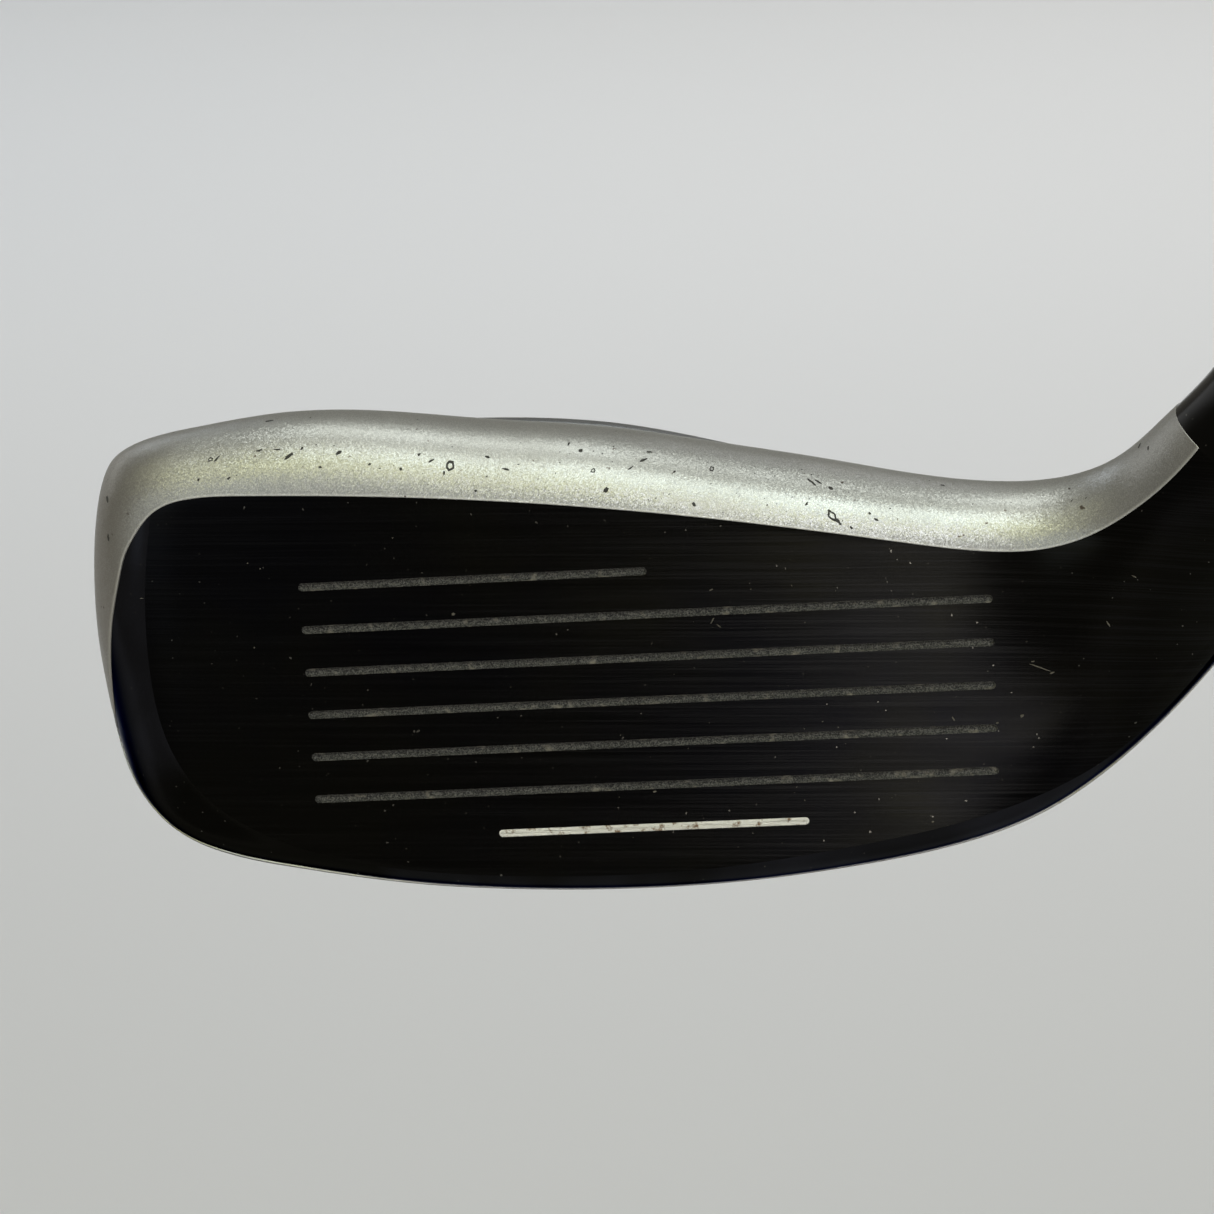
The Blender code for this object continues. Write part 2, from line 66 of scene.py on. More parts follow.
# Head sections from the toe to the hosel, within about half a millimetre of the CAD model's: bottom
# point (X, Z), top point (X, Z), front offset, depth, roundness, and the middle and half width in Y of
# a fully round section.
SECTIONS = (
    (-43.3, 14.4, -43.25, 22.7, 8.2, 14.5, 1.0, 18.0, 3.6),
    (-43.1, 12.0, -42.85, 28.0, 5.6, 20.0, 0.8, 20.0, 7.5),
    (-42.5, 10.0, -41.95, 32.2, 3.4, 25.5, 0.5, 21.5, 11.0),
    (-40.75, 8.55, -40.3, 34.75, 1.4, 31.0, 0.22, 22.5, 14.5),
    (-37.7, 6.6, -37.4, 36.4, 0.25, 36.5, 0.05, 24.0, 18.0),
    (-33.3, 4.6, -33.0, 37.2, 0.0, 42.0, 0.0, 26.0, 21.0),
    (-27.0, 2.9, -26.5, 37.7, 0.0, 47.5, 0.0, 28.0, 24.0),
    (-19.0, 1.4, -18.5, 37.3, 0.0, 52.0, 0.0, 30.0, 26.0),
    (-10.0, 0.4, -9.5, 36.1, 0.0, 54.5, 0.0, 30.0, 27.0),
    (0.0, 0.0, 0.0, 35.0, 0.0, 55.0, 0.0, 30.0, 27.0),
    (10.0, 0.3, 9.5, 33.3, 0.0, 53.5, 0.0, 30.0, 26.0),
    (19.0, 1.3, 18.0, 31.8, 0.0, 49.0, 0.0, 28.0, 24.0),
    (27.5, 2.9, 25.2, 30.6, 0.0, 41.5, 0.0, 23.0, 20.0),
    (35.3, 5.4, 31.0, 30.0, 0.0, 33.0, 0.06, 18.0, 15.5),
    (42.6, 9.9, 36.45, 30.3, 0.0, 25.5, 0.27, 14.0, 11.5),
    (48.4, 15.6, 41.25, 32.6, 0.0, 20.0, 0.6, 11.5, 8.8),
    (52.5, 21.4, 44.65, 36.65, 0.0, 16.5, 0.85, 10.2, 7.4),
    (56.4, 27.8, 47.6, 40.3, 0.0, 14.0, 0.97, 9.9, 6.9),
)
# Fully round sections of the hosel, by their distance up the shaft axis, and their front offset,
# depth and roundness
HOSEL_SECTIONS = (53.0, 61.5, HOSEL_TOP)
HOSEL_SHAPE = (0.0, 12.0, 1.0)
SECTION_COUNT = len(SECTIONS) + len(HOSEL_SECTIONS)
MIDDLE_SECTION = 9
# Control points round a section, up the front and back along the crown and the sole: share of the
# height, share of the depth, and the angle that stands for it on a round section
PROFILE = (
    (0.046, 0.0, 30.0),
    (0.103, 0.0, 40.0),
    (0.187, 0.0, 52.0),
    (0.374, 0.0, 70.0),
    (0.575, 0.0, 92.0),
    (0.776, 0.0, 113.0),
    (0.885, 0.0, 128.0),
    (0.955, 0.0, 141.0),
    (1.023, 0.029, 158.0),
    (1.034, 0.095, 176.0),
    (0.994, 0.171, 192.0),
    (0.891, 0.282, 208.0),
    (0.747, 0.445, 224.0),
    (0.589, 0.627, 240.0),
    (0.454, 0.8, 256.0),
    (0.379, 0.945, 271.0),
    (0.287, 1.018, 286.0),
    (0.19, 0.982, 301.0),
    (0.103, 0.818, 315.0),
    (0.034, 0.618, 328.0),
    (-0.009, 0.4, 340.0),
    (-0.014, 0.218, 352.0),
    (-0.009, 0.1, 366.0),
    (0.0, 0.033, 378.0),
)
RING_COUNT = len(PROFILE)
# The control points of the rolled top lip, and how their depth follows a section's own depth
LIP_POINTS = (7, 11)
LIP_POWER = 0.65

# Mesh spacing of the skin, in millimetres, round the front, round the back and lengthways
FRONT_SPACING = 0.42
BACK_SPACING = 0.9
LENGTH_SPACING = 0.45
BACK_RINGS = range(11, 22)
# Rings that close the toe, the size of the smallest, and how far their middle stands out
CAP_RINGS = 7
CAP_SMALLEST = 0.12
CAP_BULGE = 0.12

# Paint lines, as seen square to the face: X, and the distance up the face plane from the ground
SILVER_LINE = (
    (-42.2, 17.0),
    (-41.7, 22.0),
    (-41.0, 26.0),
    (-39.95, 29.6),
    (-39.25, 31.6),
    (-38.25, 33.2),
    (-36.8, 34.85),
    (-35.4, 35.65),
    (-33.6, 36.05),
    (-29.0, 36.1),
    (-22.0, 35.75),
    (-8.0, 34.6),
    (8.0, 32.5),
    (24.0, 29.7),
    (31.0, 28.65),
    (34.5, 28.65),
    (37.8, 29.4),
    (41.5, 31.45),
    (45.0, 34.75),
    (48.3, 39.1),
)
# Points far off the head that close the line's outline
BELOW_SILVER = ((80.0, 90.0), (90.0, -20.0), (-42.3, -20.0))
# Where the flat face ends and the rolled leading edge starts
FOLD_LINE = (
    (-36.2, 37.0),
    (-37.5, 30.0),
    (-37.9, 22.5),
    (-36.6, 15.0),
    (-34.0, 11.0),
    (-29.4, 7.7),
    (-20.0, 4.6),
    (-10.0, 3.4),
    (0.0, 3.05),
    (8.0, 3.35),
    (19.0, 4.7),
    (30.3, 7.0),
    (39.9, 11.1),
    (48.2, 19.3),
    (54.0, 30.0),
    (60.0, 42.0),
)
# Points far off the head that close the line's outline
ABOVE_FOLD = ((60.0, 90.0), (-36.0, 90.0))
# Where the neck's paint ends, up the shaft axis from its foot
RING_AT = 39.4
# Ring place where the sole ends and the leading edge starts, for each section from the toe. Places
# below 0 lie under the lowest front point. Then about how long a ring place is.
SOLE_EDGE = (4.0, 2.8, 1.3, -0.1, -0.62, -0.55, -0.58, -0.72, -0.92, -0.96, -0.96, -0.94, -0.9, -0.82,
             -0.66, -0.52, -0.45, -0.4, -0.4, -0.4, -0.4)
RING_PLACE_MM = 4.0
# Ring place past which the head is never black
CROWN_EDGE = 9.5
# Lower edge of the crown's paint at the back: X and height
SKIRT_LINE = ((-44.0, 15.2), (-20.0, 13.6), (20.0, 13.0), (50.0, 12.9))
# The leading edge falls away past the fold: its slope, how fast it levels out, how far it goes, and
# the X where it fades out at the heel and over how much
FOLD_SLOPE = 0.2
FOLD_REACH = 1.6
FOLD_WIDTH = 12.0
FOLD_END = 50.0
FOLD_FADE = 10.0
# How far the crown's paint and the sole's finish stand proud of the skin
PAINT_PROUD = 0.06
SOLE_PROUD = 0.04
# How far a piece's rim goes in below its surface, and where the middle of its rounding lies, out and
# down, as shares of the rounding
RIM_DEPTH = 0.7
RIM_OUT = 0.7
RIM_DOWN = 0.3

# Part of the face that holds the score lines: its corners, X and distance up the face. Then the
# lines: how many, their spacing, the height of the lowest, and the X of their ends.
WINDOW = ((-26.4, 8.6), (-11.5, 5.9), (17.0, 5.9), (32.3, 9.0), (32.3, 26.6), (5.0, 29.6), (-26.4, 29.6))
LINE_COUNT = 7
LINE_PITCH = 3.55
LOWEST_LINE_V = 7.0
# Mesh points between the lines: X of the first and last, X spacing, height of the top row, and how far
# inside the corners they stay
BETWEEN = (-25.5, 32.0, 1.5)
BETWEEN_TOP = 29.0
BETWEEN_MARGIN = 0.4
# How far in front of the face a ray towards it starts
RAY_START = 30.0
LONG_LINE = (-25.0, 31.0)
TOP_LINE = (-25.0, 3.4)
FILLED_LINE = (-10.0, 15.5)
# Half width and depth of the loops down into a line
LINE_LOOPS = ((0.33, 0.0), (0.29, 0.06), (0.21, 0.2), (0.1, 0.28))
# Half width, depth and unevenness of the loops over the paint that fills a line
FILL_LOOPS = ((0.32, 0.05, 0.0), (0.28, 0.02, 0.02), (0.12, 0.005, 0.02))
FILL_DEPTH = 0.22

# Raised rear panel: its sections, its ring places and its mesh; then its height, how much lower it is
# at its heel end, where its peak lies, how full it is, its shoulders, and how deep its edge is sunk
PANEL_SECTIONS = (7.5, 10.5)
PANEL_RINGS = (10.5, 13.5)
PANEL_MESH = 90
PANEL_HEIGHT = 1.3
PANEL_FALL = 0.3
PANEL_PEAK = 0.85
PANEL_ROUND = 0.6
PANEL_SHOULDER = 0.16
PANEL_SUNK = 0.12


def axis_point(along):
    """The point of the shaft axis this far up from the ground."""
    return AXIS_FOOT + AXIS * along


HOLD = axis_point(HOLD_AT)


def spline_weights(steps, count):
    """Weights of a closed uniform cubic B-spline with this many control points."""
    weights = np.zeros((len(steps), count))
    for row, step in enumerate(steps):
        first = int(math.floor(step))
        f = step - first
        shares = (
            (1 - f) ** 3 / 6,
            (3 * f**3 - 6 * f**2 + 4) / 6,
            (-3 * f**3 + 3 * f**2 + 3 * f + 1) / 6,
            f**3 / 6,
        )
        for offset, share in enumerate(shares):
            weights[row, (first + offset - 1) % count] += share
    return weights


def natural_spline(knots, values, places):
    """Natural cubic spline through values, an array whose first axis runs over the knots."""
    n = len(knots)
    gaps = np.diff(knots)
    system = np.eye(n)
    right = np.zeros((n,) + values.shape[1:])
    for i in range(1, n - 1):
        system[i, i - 1 : i + 2] = gaps[i - 1], 2 * (gaps[i - 1] + gaps[i]), gaps[i]
        right[i] = 6 * ((values[i + 1] - values[i]) / gaps[i] - (values[i] - values[i - 1]) / gaps[i - 1])
    bends = np.linalg.solve(system, right.reshape(n, -1)).reshape(right.shape)
    found = []
    for place in places:
        i = min(max(int(np.searchsorted(knots, place)) - 1, 0), n - 2)
        g = gaps[i]
        a = knots[i + 1] - place
        b = place - knots[i]
        found.append(
            (bends[i] * a**3 + bends[i + 1] * b**3) / (6 * g)
            + (values[i] / g - bends[i] * g / 6) * a
            + (values[i + 1] / g - bends[i + 1] * g / 6) * b
        )
    return np.array(found)


def smooth_line(points, spacing=0.5):
    """Points along a smooth curve through these."""
    points = np.array(points, float)
    knots = np.concatenate([[0.0], np.cumsum(np.linalg.norm(np.diff(points, axis=0), axis=1))])
    return natural_spline(knots, points, np.linspace(0.0, knots[-1], int(knots[-1] / spacing)))


def section_curve(bottom, top, front, depth, roundness, middle, half, steps):
    """Points of one section of the head, in X, Y and Z."""
    profile = np.array(PROFILE)
    reach = depth - front
    shares = profile[:, 1].copy()
    shares[slice(*LIP_POINTS)] *= (reach / MID_DEPTH) ** (LIP_POWER - 1)
    behind = front + shares * reach
    weights = spline_weights(steps, len(profile))
    fine = spline_weights(np.arange(0, len(profile), 0.1), len(profile)) @ profile[:, 0]
    rise = (weights @ profile[:, 0] - fine.min()) / (fine.max() - fine.min())
    line = top - bottom
    across = bottom[None, :] + rise[:, None] * line[None, :]
    y = across[:, 1] * math.tan(LOFT) + weights @ behind
    turns = np.concatenate([profile[:, 2], profile[:, 2] + 360, profile[:, 2] + 720])
    angle = np.radians(np.interp(np.asarray(steps) + len(profile), np.arange(len(turns)), turns))
    centre = (bottom + top) / 2
    round_across = centre[None, :] - np.cos(angle)[:, None] * line[None, :] / 2
    round_y = middle - half * np.sin(angle)
    across = (1 - roundness) * across + roundness * round_across
    y = (1 - roundness) * y + roundness * round_y
    return np.stack([across[:, 0], y, across[:, 1]], axis=1)


def head_sections(steps):
    """Every section's curve."""
    curves = []
    for x0, z0, x1, z1, front, depth, roundness, middle, half in SECTIONS:
        bottom = np.array([x0, z0])
        top = np.array([x1, z1])
        curves.append(section_curve(bottom, top, front, depth, roundness, middle, half, steps))
    across = ACROSS[[0, 2]]
    for along in HOSEL_SECTIONS:
        centre = axis_point(along)[[0, 2]]
        low = centre - across * HOSEL_RADIUS
        high = centre + across * HOSEL_RADIUS
        curves.append(section_curve(low, high, *HOSEL_SHAPE, AXIS_FOOT[1], HOSEL_RADIUS, steps))
    return np.array(curves)


def head_grid(places, steps):
    """Points of the head's surface at places along it and steps round it."""
    curves = head_sections(steps)
    gaps = np.linalg.norm(np.diff(curves, axis=0), axis=2).mean(axis=1)
    knots = np.concatenate([[0.0], np.cumsum(gaps)])
    at = np.interp(places, np.arange(len(knots)), knots)
    return natural_spline(knots, curves, at)


def spread(lengths, spacings):
    """Places along a line of units of these lengths, about the given spacings apart."""
    places = []
    for first, (length, spacing) in enumerate(zip(lengths, spacings)):
        count = max(2, math.ceil(length / spacing))
        places += [first + k / count for k in range(count)]
    return places


def grid_quads(rows, columns, rows_close=False, columns_close=True):
    """Faces between neighbours in a grid of points, whose rows or columns may run round."""
    i = np.arange(rows if rows_close else rows - 1)[:, None]
    j = np.arange(columns if columns_close else columns - 1)[None, :]
    next_i = (i + 1) % rows
    next_j = (j + 1) % columns
    corners = ((i, j), (i, next_j), (next_i, next_j), (next_i, j))
    return np.stack([(row * columns + column).ravel() for row, column in corners], axis=1)


def in_triangles(quads):
    """Two triangles for each four-sided face."""
    return np.concatenate([quads[:, [0, 1, 2]], quads[:, [0, 2, 3]]])


def vertex_normals(points, triangles):
    """Unit normals from the faces round each vertex, weighted by their area."""
    a, b, c = (points[triangles[:, k]] for k in range(3))
    face = np.cross(b - a, c - a)
    total = np.zeros_like(points)
    for k in range(3):
        np.add.at(total, triangles[:, k], face)
    return unit(total)


def unit(vectors):
    return vectors / np.maximum(np.linalg.norm(vectors, axis=-1, keepdims=True), 1e-12)


def plane_places(points):
    """X, distance up the face plane, and distance behind it, of points in the address frame."""
    return points[..., 0], points @ FACE_UP, points @ FACE_IN


def outline_distance(x, v, outline):
    """Distance from points to a closed outline, negative inside it."""
    best = np.full(x.shape, np.inf)
    inside = np.zeros(x.shape, bool)
    for (x0, v0), (x1, v1) in zip(outline, np.roll(outline, -1, axis=0)):
        dx = x1 - x0
        dv = v1 - v0
        share = np.clip(((x - x0) * dx + (v - v0) * dv) / (dx * dx + dv * dv + 1e-12), 0, 1)
        best = np.minimum(best, np.hypot(x - x0 - share * dx, v - v0 - share * dv))
        if v0 != v1:
            inside ^= ((v0 > v) != (v1 > v)) & (x < x0 + (v - v0) / (v1 - v0) * dx)
    return np.where(inside, -best, best)


# Columns of the skin's table, one row a vertex
POS = slice(0, 3)
NORMAL = slice(3, 6)
ROLL_POS = slice(6, 9)
ROLL_NORMAL = slice(9, 12)
SILVER, FOLD, EDGE, SKIRT, RING, AREA = range(12, 18)


def skin_mesh():
    """The head's fine surface: points, triangles, and each point's place along it and round it."""
    last = SECTION_COUNT - 1
    coarse = head_grid(np.arange(float(SECTION_COUNT)), np.arange(0.0, RING_COUNT + 0.01, 0.05))
    middle = coarse[MIDDLE_SECTION]
    round_gaps = np.linalg.norm(np.diff(middle, axis=0), axis=1).reshape(RING_COUNT, -1).sum(axis=1)
    fine = [BACK_SPACING if ring in BACK_RINGS else FRONT_SPACING for ring in range(RING_COUNT)]
    steps = np.array(spread(round_gaps, fine))
    length_gaps = np.linalg.norm(np.diff(coarse, axis=0), axis=2).mean(axis=1)
    places = np.array(spread(length_gaps, [LENGTH_SPACING] * last) + [float(last)])
    grid = head_grid(places, steps)
    centre = grid[0].mean(axis=0)
    caps = []
    for share in np.linspace(CAP_SMALLEST, 1.0, CAP_RINGS, endpoint=False):
        ring = centre + (grid[0] - centre) * share
        ring[:, 0] -= CAP_BULGE * (1 - share**2)
        caps.append(ring)
    grid = np.concatenate([caps, grid])
    rows, columns = grid.shape[:2]
    points = np.concatenate([grid.reshape(-1, 3), [centre - np.array([CAP_BULGE, 0, 0])]])
    at_section = np.append(np.repeat(np.concatenate([np.zeros(CAP_RINGS), places]), columns), 0.0)
    at_step = np.append(np.tile(steps, rows), RING_COUNT / 2)
    ring = np.arange(columns)
    tip = np.stack([(ring + 1) % columns, ring, np.full(columns, len(points) - 1)], axis=1)
    return points, np.concatenate([in_triangles(grid_quads(rows, columns)), tip]), at_section, at_step


def head_skin():
    """A table of the skin's vertices, with how far each is past every paint line, and its triangles."""
    points, triangles, at_section, at_step = skin_mesh()
    normals = vertex_normals(points, triangles)
    if normals[np.argmin(np.abs(points @ FACE_IN) + np.abs(points[:, 0]))] @ FACE_IN > 0:
        triangles = triangles[:, ::-1]
        normals = -normals
    x, v, _ = plane_places(points)
    front_step = np.where(at_step > RING_COUNT / 2, at_step - RING_COUNT, at_step)
    sole_at = np.interp(at_section, np.arange(len(SOLE_EDGE)), SOLE_EDGE)
    edge = (front_step - sole_at) * RING_PLACE_MM
    edge = np.minimum(edge, (CROWN_EDGE - front_step) * RING_PLACE_MM)
    silver_outline = np.concatenate([smooth_line(SILVER_LINE), BELOW_SILVER])
    fold = outline_distance(x, v, np.concatenate([smooth_line(FOLD_LINE), ABOVE_FOLD]))
    sunk = FOLD_SLOPE * np.where(fold > 0, fold * np.exp(-np.maximum(fold, 0) / FOLD_REACH), fold)
    sunk *= np.clip((FOLD_END - x) / FOLD_FADE, 0.0, 1.0) * (np.abs(fold) < FOLD_WIDTH)
    rolled = points - normals * sunk[:, None]
    along = (points - AXIS_FOOT) @ AXIS
    line_x, line_z = zip(*SKIRT_LINE)
    table = np.column_stack(
        [
            points,
            normals,
            rolled,
            vertex_normals(rolled, triangles),
            outline_distance(x, v, silver_outline),
            fold,
            edge,
            points[:, 2] - np.interp(x, line_x, line_z),
            along - RING_AT,
            outline_distance(x, v, np.array(WINDOW)),
        ]
    )
    return table, triangles


def split(table, triangles, values):
    """Cuts triangles along the line where values is zero: the table with new rows, and both sides."""
    above = values[triangles] > 0
    every = above.all(axis=1)
    none = ~above.any(axis=1)
    high = [tuple(t) for t in triangles[every]]
    low = [tuple(t) for t in triangles[none]]
    rows = []
    made = {}

    def cut(a, b):
        key = (min(a, b), max(a, b))
        if key not in made:
            share = values[key[0]] / (values[key[0]] - values[key[1]])
            made[key] = len(table) + len(rows)
            rows.append(table[key[0]] * (1 - share) + table[key[1]] * share)
        return made[key]

    for triangle, sides in zip(triangles[~every & ~none], above[~every & ~none]):
        odd = int(np.flatnonzero(sides == (sides.sum() == 1))[0])
        a, b, c = (int(triangle[(odd + k) % 3]) for k in range(3))
        first = cut(a, b)
        last = cut(a, c)
        corner, rest = (high, low) if sides[odd] else (low, high)
        corner.append((a, first, last))
        rest += [(first, b, c), (first, c, last)]
    if rows:
        table = np.concatenate([table, rows])
    return table, np.array(high).reshape(-1, 3), np.array(low).reshape(-1, 3)


def boundary_edges(triangles):
    """Directed edges that belong to one triangle only."""
    edges = np.concatenate([triangles[:, [0, 1]], triangles[:, [1, 2]], triangles[:, [2, 0]]])
    keys = {(int(a), int(b)) for a, b in edges}
    return [(a, b) for a, b in keys if (b, a) not in keys]


def link_object(name, data):
    """A new object in the scene."""
    made = bpy.data.objects.new(name, data)
    bpy.context.scene.collection.objects.link(made)
    return made


def add_object(name, points, faces, looks):
    """A smooth mesh object in the scene, with these materials."""
    mesh = bpy.data.meshes.new(name)
    mesh.from_pydata(points, [], faces)
    mesh.shade_smooth()
    for look in looks:
        mesh.materials.append(look)
    return link_object(name, mesh)


def attach(made, replaces):
    """Rides a piece on the club's one body, in place of a CAD node or, with None, over the others."""
    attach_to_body(made, "root")
    if replaces:
        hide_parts(replaces)


class Build:
    """Collects points, faces and corner normals in the address frame, and makes one mesh object."""

    def __init__(self):
        self.points = []
        self.faces = []
        self.normals = []
        self.looks = []
        self.marks = []

    def add(self, points, faces, normals=None, look=0, mark=0.0):
        """Adds faces. normals is one for each point, or None for the faces' own flat ones."""
        base = sum(len(p) for p in self.points)
        points = np.asarray(points, float)
        self.points.append(points)
        self.marks.append(np.broadcast_to(np.asarray(mark, float), (len(points),)))
        for face in faces:
            self.faces.append([base + int(k) for k in face])
            self.looks.append(look)
            if normals is None:
                a, b, c = (points[int(face[k])] for k in range(3))
                flat = np.cross(b - a, c - a)
                flat = flat / max(np.linalg.norm(flat), 1e-12)
                self.normals += [flat] * len(face)
            else:
                self.normals += [normals[int(k)] for k in face]

    def finish(self, name, looks, replaces):
        """Makes the object and attaches it to the club."""
        points = (np.concatenate(self.points) - HOLD) * MM
        made = add_object(name, points.tolist(), self.faces, looks)
        made.data.normals_split_custom_set([tuple(n) for n in self.normals])
        made.data.polygons.foreach_set("material_index", self.looks)
        mark = made.data.attributes.new("mark", "FLOAT", "POINT")
        mark.data.foreach_set("value", np.concatenate(self.marks).astype(np.float32))
        attach(made, replaces)


def add_skin(build, table, triangles, raised, lip, position=POS, normal=NORMAL, mark=None, look=0):
    """A part of the skin with its rim rolled over by lip and then turned straight in."""
    used, index = np.unique(triangles, return_inverse=True)
    triangles = index.reshape(-1, 3)
    rows = table[used]
    normals = unit(rows[:, normal])
    points = rows[:, position] + normals * raised
    marks = np.zeros(len(points)) if mark is None else rows[:, mark]
    build.add(points, triangles, normals, look, marks)
    edges = boundary_edges(triangles)
    rim = sorted({k for edge in edges for k in edge})
    place = {k: n for n, k in enumerate(rim)}
    out = np.zeros((len(rim), 3))
    for a, b in edges:
        along = points[b] - points[a]
        side = np.cross(along, normals[a])
        out[place[a]] += side
        out[place[b]] += side
    out = unit(out)
    top = points[rim]
    up = normals[rim]
    roll = top + out * lip * RIM_OUT - up * lip * RIM_DOWN
    down = top + out * lip - up * lip
    foot = down - up * RIM_DEPTH
    count = len(rim)
    faces = []
    for a, b in edges:
        a = place[a]
        b = place[b]
        for low in range(3):
            faces.append((b + count * low, a + count * low, a + count * (low + 1), b + count * (low + 1)))
    rim_normals = np.concatenate([up, unit(up + out), out, out])
    build.add(np.concatenate([top, roll, down, foot]), faces, rim_normals, look, np.tile(marks[rim], 4))


# Node materials ------------------------------------------------------------------------------------


class Nodes:
    """Short calls for building a node material in the part's own coordinates."""

    def __init__(self, name, colour, roughness, metallic=0.0, **sockets):
        self.material = bpy.data.materials.new(name)
        self.material.use_nodes = True
        self.tree = self.material.node_tree
        self.shader = self.tree.nodes["Principled BSDF"]
        self.shader.inputs["Base Color"].default_value = (*colour, 1.0)
        self.shader.inputs["Roughness"].default_value = roughness
        self.shader.inputs["Metallic"].default_value = metallic
        for socket, value in sockets.items():
            self.shader.inputs[socket.replace("_", " ")].default_value = value
        self.place = self.tree.nodes.new("ShaderNodeTexCoord").outputs["Object"]

    def link(self, value, socket):
        if isinstance(value, bpy.types.NodeSocket):
            self.tree.links.new(value, socket)
        else:
            socket.default_value = value

    def node(self, kind, inputs, **settings):
        """The outputs of a new node. Its inputs are given by name or number, as values or links."""
        made = self.tree.nodes.new("ShaderNode" + kind)
        for setting, value in settings.items():
            setattr(made, setting, value)
        for socket, value in inputs.items():
            self.link(value, made.inputs[socket])
        return made.outputs

    def mapped(self, scale, rotation=(0, 0, 0)):
        """The place on the part, turned and then scaled."""
        turned_place = self.node("Mapping", {"Vector": self.place, "Rotation": rotation})[0]
        return self.node("Mapping", {"Vector": turned_place, "Scale": scale})[0]

    def noise(self, scale, detail=2.0, rough=0.5, vector=None):
        inputs = {"Scale": scale, "Detail": detail, "Roughness": rough, "Vector": vector or self.place}
        return self.node("TexNoise", inputs)["Fac"]

    def cells(self, scale, output="Color"):
        return self.node("TexVoronoi", {"Scale": scale, "Vector": self.place})[output]

    def across_x(self):
        """How far along the part's X axis a point is."""
        return self.node("SeparateXYZ", {0: self.place})["X"]

    def attribute(self, name):
        return self.node("Attribute", {}, attribute_name=name)["Fac"]

    def remap(self, value, low, high, to_low=0.0, to_high=1.0):
        return self.node("MapRange", {0: value, 1: low, 2: high, 3: to_low, 4: to_high})[0]

    def math(self, kind, a, b):
        return self.node("Math", {0: a, 1: b}, operation=kind)[0]

    def mix(self, share, first, second):
        """A colour between two colours."""
        first, second = (c if isinstance(c, bpy.types.NodeSocket) else (*c, 1.0) for c in (first, second))
        return self.node("Mix", {0: share, 6: first, 7: second}, data_type="RGBA")[2]

    def bump(self, height, distance, strength=1.0):
        return self.node("Bump", {"Distance": distance, "Strength": strength, "Height": height})[0]

    def scatter(self, cells, amount):
        """The surface normal, tipped a little at random in each cell, as flakes lie in paint."""
        offset = self.node("VectorMath", {0: cells, 1: (0.5, 0.5, 0.5)}, operation="SUBTRACT")[0]
        scaled = self.node("VectorMath", {0: offset, "Scale": amount}, operation="SCALE")[0]
        normal = self.node("NewGeometry", {})["Normal"]
        total = self.node("VectorMath", {0: normal, 1: scaled}, operation="ADD")[0]
        return self.node("VectorMath", {0: total}, operation="NORMALIZE")[0]

    def set(self, **sockets):
        for socket, value in sockets.items():
            self.link(value, self.shader.inputs[socket.replace("_", " ")])
        return self.material


def part_x(x):
    """An X of the address frame, in millimetres, in the part's frame."""
    return (x - HOLD[0]) * MM


# Painted shade at the toe and up the neck, a brown-grey darkening of the silver: X where it is darkest, X
# where it ends, and its share there
END_SHADE = ((-43.5, -33.0, 0.75), (50.0, 36.0, 0.45))


def silver_paint(name, bright, dark, roughness, edge_highlight=False):
    """Satin metallic paint: fine flakes, a faint cloudiness, a painted highlight along its rim, painted
    shade at the toe and neck, and pits.
    """
    look = Nodes(name, bright, roughness, 0.88)
    flakes = look.cells(11500.0)
    tone = look.cells(9500.0, "Distance")
    cloud = look.noise(90.0, 3.0)
    colour = look.mix(look.remap(tone, 0.1, 0.6), bright, dark)
    colour = look.mix(look.remap(cloud, 0.35, 0.7, 0.0, 0.16), colour, (0.36, 0.33, 0.29))
    if edge_highlight:
        # Painted highlight: a pale, less metallic band along the paint's lower edge stands in for the
        # light line the edge catches.
        rim = look.remap(look.attribute("mark"), 0.02, 0.15, 0.5, 0.0)
        colour = look.mix(rim, colour, (0.85, 0.845, 0.8))
        look.set(Metallic=look.remap(rim, 0.0, 1.0, 0.88, 0.4))
    # Painted shade: the silver darkens towards brown-grey at the toe end and the neck end.
    for darkest_x, unshaded_x, share in END_SHADE:
        end_shade = look.remap(look.across_x(), part_x(unshaded_x), part_x(darkest_x), 0.0, share)
        colour = look.mix(end_shade, colour, (0.25, 0.225, 0.19))
    pits = look.noise(1500.0, 2.0)
    colour = look.mix(look.remap(pits, 0.72, 0.78), colour, (0.12, 0.1, 0.085))
    rough = look.remap(cloud, 0.3, 0.7, roughness - 0.03, roughness + 0.04)
    return look.set(Base_Color=colour, Normal=look.scatter(flakes, 0.19), Roughness=rough)


# Slant of the brush marks, and the X between which they get stronger
BRUSH_SLANT = math.radians(-2.4)
BRUSH_GROWS = (-15.0, 20.0)


